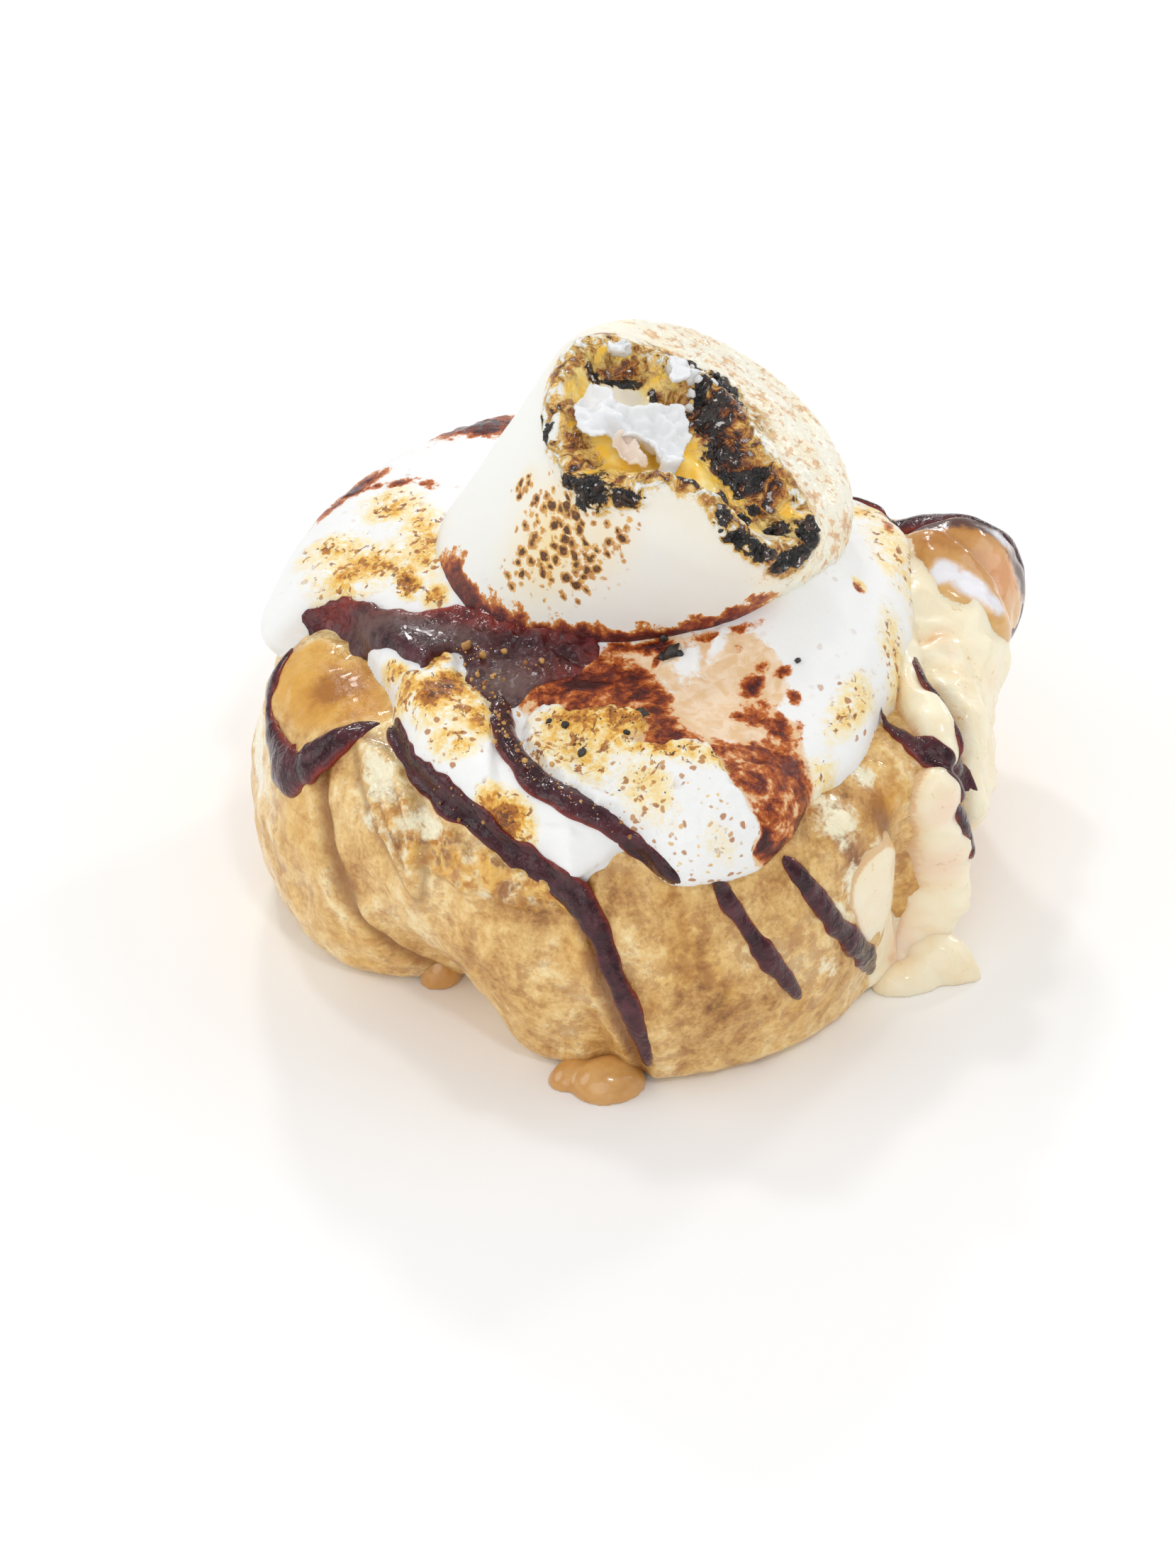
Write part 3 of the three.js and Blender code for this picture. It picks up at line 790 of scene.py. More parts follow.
@dataclass(frozen=True)
class MallowFinish:
    """The whole marshmallow. Reads tint, spots, speck, char, halo, amber, cream and stain."""

    white: Colour = (0.9, 0.905, 0.87)
    tint: Colour = (0.93, 0.74, 0.38)
    sink: Sink = Sink(0.22, (1.0, 0.82, 0.62), 3)

    def dress(self) -> Material:
        """The material."""
        g = Graph("toasted_marshmallow")
        tint, spots, speck, char, halo, amber, cream, stain = g.marks(
            "tint", "spots", "speck", "char", "halo", "amber", "cream", "stain")
        wide = g.noise(3.6, 2, 0.5)
        middle = g.noise(1.3, 3, 0.62, seed=0.2, warp=0.4)
        fine = g.noise(0.5, 3, 0.7, seed=0.5)
        g.base = g.mix((tint + middle.swing(0.9) * tint).held(), self.white, self.tint)
        # Scorched spots on the barrel, each with a toasted ring round it.
        near = spots.step(0.02, 0.2)
        ring, core = None, None
        for apart, seed in ((1.5, 0.1), (1.1, 0.45)):
            far, own = g.cells(apart, g.warped(1.1, 0.35, seed), 0.9)
            burnt = own * 0.4 + spots * 0.56 - 0.19 + fine.swing(0.4) + middle.swing(0.4)
            one, two = (burnt + 0.07 - far).step(-0.02, 0.12), (burnt - 0.11 - far).step(0.0, 0.14)
            ring, core = (one, two) if ring is None else (ring.over(one), core.over(two))
        g.lay(ring * near * 0.92, g.mix(middle.step(0.4, 0.6), (0.78, 0.42, 0.08), (0.56, 0.23, 0.03)))
        g.lay(core * near * 0.94, g.mix(fine.step(0.48, 0.64), (0.06, 0.018, 0.005), (0.24, 0.08, 0.012)))
        # Fine reddish-brown speckles over the shoulder, on a cream laid lighter than the white marshmallow as
        # painted light, where the lamps reach the shoulder less.
        veil = speck.step(0, 0.3)
        g.lay(veil * 0.75, (1.0, 0.95, 0.79))
        g.lay((speck * 0.2 + wide.swing(1.8) * veil).held() * 0.8, (0.97, 0.74, 0.38))
        grit = g.noise(1.1, 3, 0.68, seed=0.7)
        dots = (grit + wide.swing(0.35) + speck * 0.1 - 0.11).step(0.5, 0.6) * veil
        g.lay(dots * 0.72, g.mix(fine.step(0.4, 0.6), (0.84, 0.5, 0.2), (0.58, 0.24, 0.06)))
        # The burst crater: honey-coloured inside, laid lighter than it is as painted light against the
        # crater's shade, golden at its edge, browned and charred in places.
        honey = g.ramp((middle * 0.6 + wide * 0.5 + cream * 0.5).held(),
                       [(0.25, (1.0, 0.46, 0.03)), (0.5, (1.0, 0.6, 0.07)), (0.75, (1.0, 0.79, 0.29)),
                       (1.0, (0.95, 0.87, 0.72))])
        g.lay(amber.step(0.1, 0.5), honey)
        clot = g.noise(1.5, 4, 0.62, seed=0.35, warp=0.9)
        uneven = wide.swing(0.9) + middle.swing(0.9) + clot.swing(2.3)
        brown = (halo - 0.04 + uneven * halo.step(0, 0.3)).held()
        crust = g.ramp(brown, [
            (0.16, (0.92, 0.68, 0.3)), (0.34, (0.84, 0.5, 0.12)), (0.5, (0.55, 0.22, 0.035)),
            (0.66, (0.27, 0.07, 0.012)), (0.84, (0.07, 0.016, 0.008)), (0.97, (0.012, 0.006, 0.005))])
        g.lay(brown.step(0.1, 0.24), crust)
        black = (char + (middle.swing(1.3) + clot.swing(1.1)) * char.step(0, 0.3)).step(0.38, 0.54)
        g.lay(black, g.mix(clot.step(0.5, 0.66), (0.005, 0.004, 0.005), (0.07, 0.028, 0.014)))
        # Painted glints: white specks on whatever is browned or burnt, standing in for wet sugar catching the
        # light.
        painted_glint = (g.noise(0.75, 3, 0.7, seed=0.9, warp=0.4) + clot.swing(0.5)).step(0.63, 0.67)
        g.lay(painted_glint * brown.step(0.5, 0.8).over(black * 0.5) * 0.85, (0.88, 0.84, 0.82))
        # Sauce that has crept up the foot.
        wick = (stain + (middle.swing(1.0) + fine.swing(0.9)) * stain.step(0, 0.3)).held()
        crept = g.ramp(wick, [(0.2, (0.88, 0.52, 0.2)), (0.36, (0.62, 0.22, 0.04)), (0.6, (0.3, 0.05, 0.018)),
                              (0.92, (0.09, 0.012, 0.012))])
        g.lay(wick.step(0.16, 0.3), crept)
        wet = brown.step(0.1, 0.5).over(speck * 0.7).over(amber) * (1 - black * 0.3)
        rough = (0.5 - wet * 0.42 + fine.swing(0.1) - stain * 0.2).held()
        normal = g.bump((middle * (0.1 + brown + speck), 0.3), (clot * brown.over(black), 0.5),
                        (fine * (0.08 + speck * 0.6 + brown * 0.6 + stain), 0.16))
        return g.surface(self.sink, Base_Color=g.base, Roughness=rough, Coat_Weight=(wet * 0.3).held(),
                         Coat_Roughness=0.05, Normal=normal, Specular_IOR_Level=0.5)


@dataclass(frozen=True)
class SkinFinish:
    """Dry white marshmallow skin. Reads blush."""

    white: Colour = (0.8, 0.82, 0.84)
    warm: Colour = (0.88, 0.89, 0.89)
    pink: Colour = (0.88, 0.7, 0.56)
    sink: Sink = Sink(0.3, (1.0, 0.9, 0.8), 1.5)

    def dress(self) -> Material:
        """The material."""
        g = Graph("marshmallow_skin")
        wide = g.noise(2.6, 2)
        fine = g.noise(0.4, 2, seed=0.4)
        blushed = (g.marks("blush")[0] * (0.5 + wide)).held()
        g.base = g.mix(blushed, g.mix(wide * 0.5, self.white, self.warm), self.pink)
        normal = g.bump((wide, 0.12), (fine, 0.04))
        return g.surface(self.sink, Base_Color=g.base, Roughness=0.42 + fine * 0.2, Normal=normal)


@dataclass(frozen=True)
class ChocolateFinish:
    """Chocolate sauce. Reads thin, where it is only a film, and dull, where it has skinned over."""

    dark: Colour = (0.028, 0.004, 0.008)
    plum: Colour = (0.095, 0.022, 0.03)
    film: Colour = (0.34, 0.035, 0.018)
    skinned: Colour = (0.14, 0.08, 0.072)

    def dress(self) -> Material:
        """The material."""
        g = Graph("chocolate")
        thin, dull = g.marks("thin", "dull")
        wide = g.noise(3.0, 2)
        middle = g.noise(1.0, 2, 0.6, seed=0.3, warp=0.6)
        fine = g.noise(0.3, 2, seed=0.6)
        g.base = g.mix((wide.swing(2.6) + middle.swing(1.6) + 0.4).held(), self.dark, self.plum)
        skin = dull.frayed(middle, 1.5).held()
        g.lay(skin, self.skinned)
        g.lay(thin.frayed(middle, 0.8).held(), self.film)
        rough = 0.12 + middle.swing(0.12) + wide.swing(0.1) + skin * 0.36
        normal = g.bump((wide, 0.6), (middle * (1 - skin * 0.4), 0.28), (fine, 0.004))
        return g.surface(Base_Color=g.base, Roughness=rough.held(), Coat_Weight=(0.24 - skin * 0.22).held(),
                         Coat_Roughness=0.04, Normal=normal, Specular_IOR_Level=0.28)


@dataclass(frozen=True)
class IcingFinish:
    """Set icing. Reads amber, blush and the mark of painted shade in its hollows and at its thin edges."""

    cream: Colour = (0.97, 0.875, 0.66)
    butter: Colour = (0.94, 0.74, 0.45)
    # The painted shade's colour in the icing's hollows.
    shade_toffee: Colour = (0.78, 0.47, 0.22)
    caramel: Colour = (0.7, 0.36, 0.11)
    rosy: Colour = (0.93, 0.66, 0.52)
    fleck: Colour = (0.72, 0.43, 0.14)
    sink: Sink = Sink(0.25, (1.0, 0.7, 0.4), 3)

    def dress(self) -> Material:
        """The material."""
        g = Graph("icing")
        amber, blush, hollow = g.marks("amber", "blush", "hollow")
        wide = g.noise(4.6, 2)
        middle = g.noise(1.8, 2, 0.6, seed=0.4, warp=0.5)
        fine = g.noise(0.6, 2, seed=0.8)
        # Painted shade: butter-yellow and then toffee-brown where the icing is hollow or thin at its edge.
        g.base = g.mix((wide.swing(1.4) + middle.swing(0.5) + 0.2 + hollow * 0.7).held(), self.cream,
                       self.butter)
        sunk = (hollow - 0.5 + middle.swing(0.8) + wide.swing(0.6)).step(0, 0.5) * 0.75
        g.lay(sunk, self.shade_toffee)
        g.lay((amber + middle.swing(0.8) * amber).held(), self.caramel)
        g.lay(blush, self.rosy)
        flecks = g.noise(0.7, 2, 0.7, seed=1.4).step(0.63, 0.7) * (wide.step(0.45, 0.6))
        g.lay(flecks * 0.6, self.fleck)
        normal = g.bump((wide, 0.35), (middle, 0.16), (fine, 0.03))
        return g.surface(self.sink, Base_Color=g.base, Roughness=(0.26 + fine * 0.2).held(), Coat_Weight=0.35,
                         Coat_Roughness=0.12, Normal=normal, Specular_IOR_Level=0.4)


@dataclass(frozen=True)
class GlazeFinish:
    """Set caramel glaze. Reads amber, blush, dark and the mark of its painted highlights."""

    pale: Colour = (0.76, 0.45, 0.16)
    deep: Colour = (0.48, 0.19, 0.025)
    rosy: Colour = (0.82, 0.4, 0.2)
    stained: Colour = (0.1, 0.035, 0.022)
    # The painted highlights' pale lavender-white.
    milky: Colour = (0.86, 0.84, 0.88)
    sink: Sink = Sink(0.15, (1.0, 0.5, 0.2), 2)

    def dress(self) -> Material:
        """The material."""
        g = Graph("glaze")
        amber, blush, milk, dark = g.marks("amber", "blush", "milk", "dark")
        wide = g.noise(3.0, 2)
        middle = g.noise(1.2, 2, seed=0.7)
        fine = g.noise(0.5, 2, seed=0.4)
        g.base = g.mix((amber + wide.swing(0.7) + middle.swing(0.6)).held(), self.pale, self.deep)
        g.lay((blush + middle.swing(0.5) * blush).held(), self.rosy)
        g.lay(dark.frayed(middle, 0.7).step(0.3, 0.7), self.stained)
        # Painted highlights: pale lavender-white laid where the wet glaze would catch the light.
        g.lay(milk.frayed(middle, 0.5).step(0.25, 0.7), self.milky)
        return g.surface(self.sink, Base_Color=g.base, Roughness=(0.14 + fine * 0.12).held(), Coat_Weight=0.6,
                         Coat_Roughness=0.06, Normal=g.bump((wide, 0.25), (fine, 0.03)))


@dataclass(frozen=True)
class CrumbFinish:
    """Loose crumbs of one colour."""

    name: str
    colour: Colour
    other: Colour
    rough: float

    def dress(self) -> Material:
        """The material."""
        g = Graph(self.name)
        middle = g.noise(1.1, 2)
        fine = g.noise(0.25, 2, seed=0.3)
        g.base = g.mix(middle.step(0.35, 0.65), self.colour, self.other)
        return g.surface(Base_Color=g.base, Roughness=self.rough + fine * 0.2, Normal=g.bump((fine, 0.06)),
                         Coat_Weight=0.15, Coat_Roughness=0.2)


# ---- pieces


class Piece:
    """A piece in the making: a mesh whose points are moved as an array."""

    def __init__(self, name: str, shape: BMesh) -> None:
        """Takes a bmesh's faces and frees it.

        Args:
            name: the piece's name.
            shape: the bmesh, with a vertex layer named top where it has two sides.
        """
        self.name = name
        self.mesh = bpy.data.meshes.new(name)
        shape.to_mesh(self.mesh)
        shape.free()

    @property
    def points(self) -> Array:
        """Where the points are, one to a row."""
        flat = np.empty(3 * len(self.mesh.vertices))
        self.mesh.vertices.foreach_get("co", flat)
        return flat.reshape(-1, 3)

    @property
    def flat(self) -> tuple[Array, Array]:
        """The points' first two coordinates."""
        return self.points[:, 0], self.points[:, 1]

    @property
    def top(self) -> Array:
        """Which points are on the upper side."""
        flags = np.zeros(len(self.mesh.vertices), dtype=np.int32)
        self.mesh.attributes["top"].data.foreach_get("value", flags)
        return flags.astype(bool)

    def move(self, points: Array) -> None:
        """Puts every point in its place."""
        self.mesh.vertices.foreach_set("co", np.ascontiguousarray(points, dtype=np.float32).ravel())
        self.mesh.update()

    def mark(self, **levels: Array) -> None:
        """Keeps a number at every point for each finish to read."""
        for name, values in levels.items():
            made = self.mesh.attributes.new(name, "FLOAT", "POINT")
            made.data.foreach_set("value", np.clip(values, 0, 1).astype(np.float32))

    def pour(self, top: Array, under: Array) -> None:
        """Lays a two-sided piece on the bun.

        Args:
            top: how high its upper side stands.
            under: how high whatever it lies on stands.
        """
        sunk = np.minimum(top, under) - OVERLAP
        self.move(BUN.lay(*self.flat, np.where(self.top, top, sunk)))

    def finish(self, material: Material, slot: Slot, *replaced: str) -> None:
        """Closes the mesh, puts it in the frame, dresses it and rides it.

        Args:
            material: its finish.
            slot: the record's slot that the finish comes from; it is not used.
            replaced: the CAD nodes that it stands for.
        """
        self.move((self.points + SHIFT) * MM)
        shape = bmesh.new()
        shape.from_mesh(self.mesh)
        bmesh.ops.remove_doubles(shape, verts=shape.verts, dist=2e-6)
        bmesh.ops.dissolve_degenerate(shape, edges=shape.edges, dist=1e-6)
        bmesh.ops.recalc_face_normals(shape, faces=shape.faces)
        shape.to_mesh(self.mesh)
        shape.free()
        self.mesh.polygons.foreach_set("use_smooth", np.ones(len(self.mesh.polygons), dtype=bool))
        self.mesh.materials.append(material)
        made = bpy.data.objects.new(self.name, self.mesh)
        bpy.context.scene.collection.objects.link(made)
        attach(made, "root")
        if replaced:
            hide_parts(*replaced)
        log.info("%s: %d faces", self.name, len(self.mesh.polygons))


def disc(runs: Sequence[float], sides: int) -> BMesh:
    """A flat disc of rings round the origin, whose middle is closed.

    Args:
        runs: the rings' radii after the middle.
        sides: how many sides each ring has.

    Returns:
        The disc.
    """
    shape = bmesh.new()
    line = [shape.verts.new((r, 0, 0)) for r in (0.0, *runs)]
    edges = [shape.edges.new(pair) for pair in zip(line, line[1:])]
    bmesh.ops.spin(shape, geom=[*line, *edges], cent=(0, 0, 0), axis=(0, 0, 1), angle=math.tau, steps=sides,
                   use_merge=True)
    bmesh.ops.remove_doubles(shape, verts=shape.verts, dist=1e-5)
    return shape


def sheet(low: tuple[float, float], high: tuple[float, float], spacing: float,
          keep: Callable[[Array, Array], Array], two_sided: bool = True) -> BMesh:
    """A flat grid cut to shape, with an underside joined round its edge.

    Args:
        low: the lowest corner.
        high: the highest corner.
        spacing: the grid's spacing.
        keep: which points are kept.
        two_sided: whether the underside copies the grid, or else runs in to one hidden point.

    Returns:
        The sheet, whose upper points have 1 in the vertex layer top.
    """
    shape = bmesh.new()
    size = np.subtract(high, low)
    steps = np.maximum(2, np.ceil(size / spacing)).astype(int)
    bmesh.ops.create_grid(shape, x_segments=int(steps[0]), y_segments=int(steps[1]), size=1)
    bmesh.ops.scale(shape, vec=(size[0] / 2, size[1] / 2, 1), verts=shape.verts)
    bmesh.ops.translate(shape, vec=(*(np.add(low, high) / 2), 0), verts=shape.verts)
    spots = np.array([v.co[:2] for v in shape.verts])
    kept = keep(spots[:, 0], spots[:, 1])
    bmesh.ops.delete(shape, geom=[v for v, k in zip(shape.verts[:], kept) if not k], context="VERTS")
    bmesh.ops.delete(shape, geom=[v for v in shape.verts if not v.link_faces], context="VERTS")
    flag = shape.verts.layers.int.new("top")
    if two_sided:
        made = bmesh.ops.extrude_face_region(shape, geom=shape.faces[:], use_keep_orig=True)
        for v in made["geom"]:
            if isinstance(v, BMVert):
                v[flag] = 1
    else:
        for v in shape.verts:
            v[flag] = 1
        edge = [e for e in shape.edges if e.is_boundary]
        made = bmesh.ops.extrude_edge_only(shape, edges=edge)
        hidden = [v for v in made["geom"] if isinstance(v, BMVert)]
        for v in hidden:
            v[flag] = 0
        bmesh.ops.pointmerge(shape, verts=hidden, merge_co=(0, 0, 0))
    return shape


def patch(name: str, region: Region, past: float, spacing: float, keep: Callable[[Array, Array], Array],
          two_sided: bool = True) -> Piece:
    """A piece cut from a sheet over a region.

    Args:
        name: the piece's name.
        region: what it covers.
        past: how far past the region the sheet starts.
        spacing: the sheet's spacing.
        keep: which points are kept.
        two_sided: whether the underside copies the sheet.

    Returns:
        The piece, still flat.
    """
    low, high = region.line.min(0) - past, region.line.max(0) + past
    return Piece(name, sheet(tuple(low), tuple(high), spacing, keep, two_sided))


@dataclass(frozen=True)
class Roll:
    """The coiled roll of dough."""

    sides: int = 620
    spacing: float = 0.34
    golden_patch: Region = Region((
        (-39.6, -5.2), (-36.8, -2.2), (-33, -2.4), (-29, -7), (-26.4, -12), (-25.6, -17.6), (-29.5, -17.6),
        (-34, -16.6), (-37.6, -13.4), (-39.4, -9)))
    strip: Region = Region((
        (-29, -19.6), (-25.2, -22.6), (-23.2, -27), (-22.6, -31), (-24, -35), (-26, -38), (-27.4, -34),
        (-28, -28), (-28.8, -23)))
    crust: Region = Region((
        (-26.6, -25.6), (-22.6, -29.4), (-16.6, -34.8), (-10.4, -38.4), (-6.4, -41.6), (-9, -42.6),
        (-13.4, -41.8), (-17.4, -39.8), (-22, -36.6), (-26, -33), (-28.4, -30.4), (-29.4, -27.8)))
    tray: Grain = Grain(11)
    scorches: Marks = dabs(
        (-31.2, -11, 4, 3, 20, 0.75), (-29, -15.5, 3, 1.5, 40, 0.3), (-35, -31.5, 2.4, 1.6, 30, 0.45),
        (-30.5, -49, 4.5, 3, 40, 0.6), (-19.5, -36, 3, 1.6, -40, 0.5), (-14.5, -40.5, 3.6, 1.4, -30, 0.55),
        (22.6, -34.6, 3, 0.8, -30, 1.4), (24.2, -36, 0.8, 1.6, 0, 1.4), (40, -31, 4, 2, 40, 0.6),
        (25.4, -29.6, 3, 1.6, -50, 0.6))
    golds: Marks = dabs((26.2, -28, 4.4, 2.8, -50, 0.9), (-39.6, -22.4, 2, 5, -30, 0.35))
    # Whitish marks: bits of sugar and icing, some of them painted highlights on wet dough.
    pales_and_highlights: Marks = dabs(
        (-46, -7, 2.6, 8, 0, 1.3), (-21.4, -31.8, 2.6, 1.5, -48, 0.8), (-26.6, -25, 1.4, 2.6, 28, 0.62),
        (-29, -28.8, 1.2, 1.6, 0, 0.55), (-25.4, -20.6, 1.2, 1.6, 0, 0.5), (-17.6, -35.8, 1.6, 0.8, -30, 0.5),
        (-16.8, -39.5, 1.4, 0.8, -30, 0.6), (-12, -41, 1.3, 0.8, -30, 0.5),
        (19.7, -31.4, 3.8, 2.8, -40, 0.85), (22.6, -25.2, 2.6, 1.4, -40, 0.8), (27, -36.6, 4, 4.4, -30, 0.95),
        (24, -40.6, 3, 1.4, -20, 0.6), (24.4, -46.4, 1.8, 4, 60, 0.55), (29.6, -23.6, 3, 1.4, -30, 0.45))

    def relief(self, angle: Array, run: Array) -> tuple[Array, dict[str, Array]]:
        """The dough's fine form and colour.

        Args:
            angle: angles in degrees.
            run: runs from the middle of the top.

        Returns:
            How far each point is raised, and the levels that its finish reads.
        """
        at = BUN.place(angle, run)
        turn = np.radians(angle)
        x, y = run * np.cos(turn), run * np.sin(turn)
        shown = step(run, 22, 34)
        tail, left, right, back = (BUN.past(seam, angle, run) for seam in BUN.seams)
        crumb = step(self.crust.depth(x, y) + 0.7 * self.tray.rough(at, 3, 2), -0.6, 1)
        crumb = np.maximum(crumb, 0.3 * step(right, 0, 4) * step(right, 40, 26))
        lumps = self.tray.rough(at, 7.5, 3)
        ridges = 1 - np.abs(self.tray.rough(at * [1, 1, 0.7] + 40, 4.2, 3))
        flaky = self.tray.rough(at * [1.2, 1.2, 0.6] + 90, 2.6, 4, 0.6)
        near, next_near = self.tray.cells(at + 5, 3.1)
        crackle = np.clip(next_near - near, 0, 0.5)
        drapes = self.tray.rough(at * [1, 1, 0.3] + 70, 5, 2)
        raised = 0.42 * lumps + 0.28 * drapes + 0.07 * self.tray.rough(at * [1, 1, 0.6] + 60, 2.2, 3)
        raised += 0.05 * (crackle - 0.25) * (1 - crumb)
        raised += crumb * (1.2 * (crackle - 0.2) + 0.5 * (ridges - 0.75) + 0.5 * flaky + 0.5)
        crease = np.zeros_like(run)
        for past, deep in ((left, 1.0), (tail, 1.3), (right, 1.0), (back, 0.8)):
            width = 1.1 + 0.5 * self.tray.smooth(at, 5)
            line = bell(past * np.radians(1) * 40, np.maximum(width, 0.6)) * step(run, 36, 41)
            raised -= deep * line
            crease = np.maximum(crease, line)
        strip = step(self.strip.depth(x, y) + 0.4 * self.tray.smooth(at, 3), -0.4, 1.2)
        fold = bell(self.strip.depth(x, y) - 1.8 + 0.6 * self.tray.smooth(at + 3, 3), 0.5)
        raised += 1.4 * strip - 0.4 * crumb * strip - 0.5 * fold * strip
        edge = bell(self.strip.depth(x, y) + 0.5, 0.6 + 0.2 * self.tray.smooth(at, 2))
        crease = np.maximum.reduce([crease, 0.75 * edge, 0.5 * fold * strip])
        gold = step(self.golden_patch.depth(x, y) + 0.6 * self.tray.smooth(at, 3), -0.6, 1.6)
        scorch = highest(self.scorches, x, y)
        front = bell(turn_between(angle, 285), 34)
        # Browner where scorched, and browner on the front side above the foot and where the dough sinks in,
        # which is painted shade.
        brown = scorch + 0.32 * front * step(run, 66, 56) + 0.5 * np.clip(-raised, 0, 1) - 0.2 * strip
        gold = np.maximum(gold, highest(self.golds, x, y))
        pale = np.maximum(0.36 * strip, 0) + highest(self.pales_and_highlights, x, y)
        return raised * shown * step(run, BUN.foot_end + 3, BUN.foot_end - 1), {
            "brown": brown, "crease": crease, "gold": gold, "pale": pale, "crumb": crumb}

    def build(self) -> None:
        """Makes the roll."""
        runs = [8, 15, 20, *np.arange(24, BUN.foot_end, self.spacing), BUN.foot_end, 72, 80, 92, BUN.end]
        piece = Piece("roll_dough", disc(runs, self.sides))
        x, y = piece.flat
        angle, run = np.degrees(np.arctan2(y, x)), np.hypot(x, y)
        raised, levels = self.relief(angle, run)
        at = BUN.place(angle, run, raised)
        at[:, 2] = np.maximum(at[:, 2], 0)
        piece.move(at)
        piece.mark(**levels)
        piece.finish(DoughFinish().dress(), Slot.DOUGH, "roll")


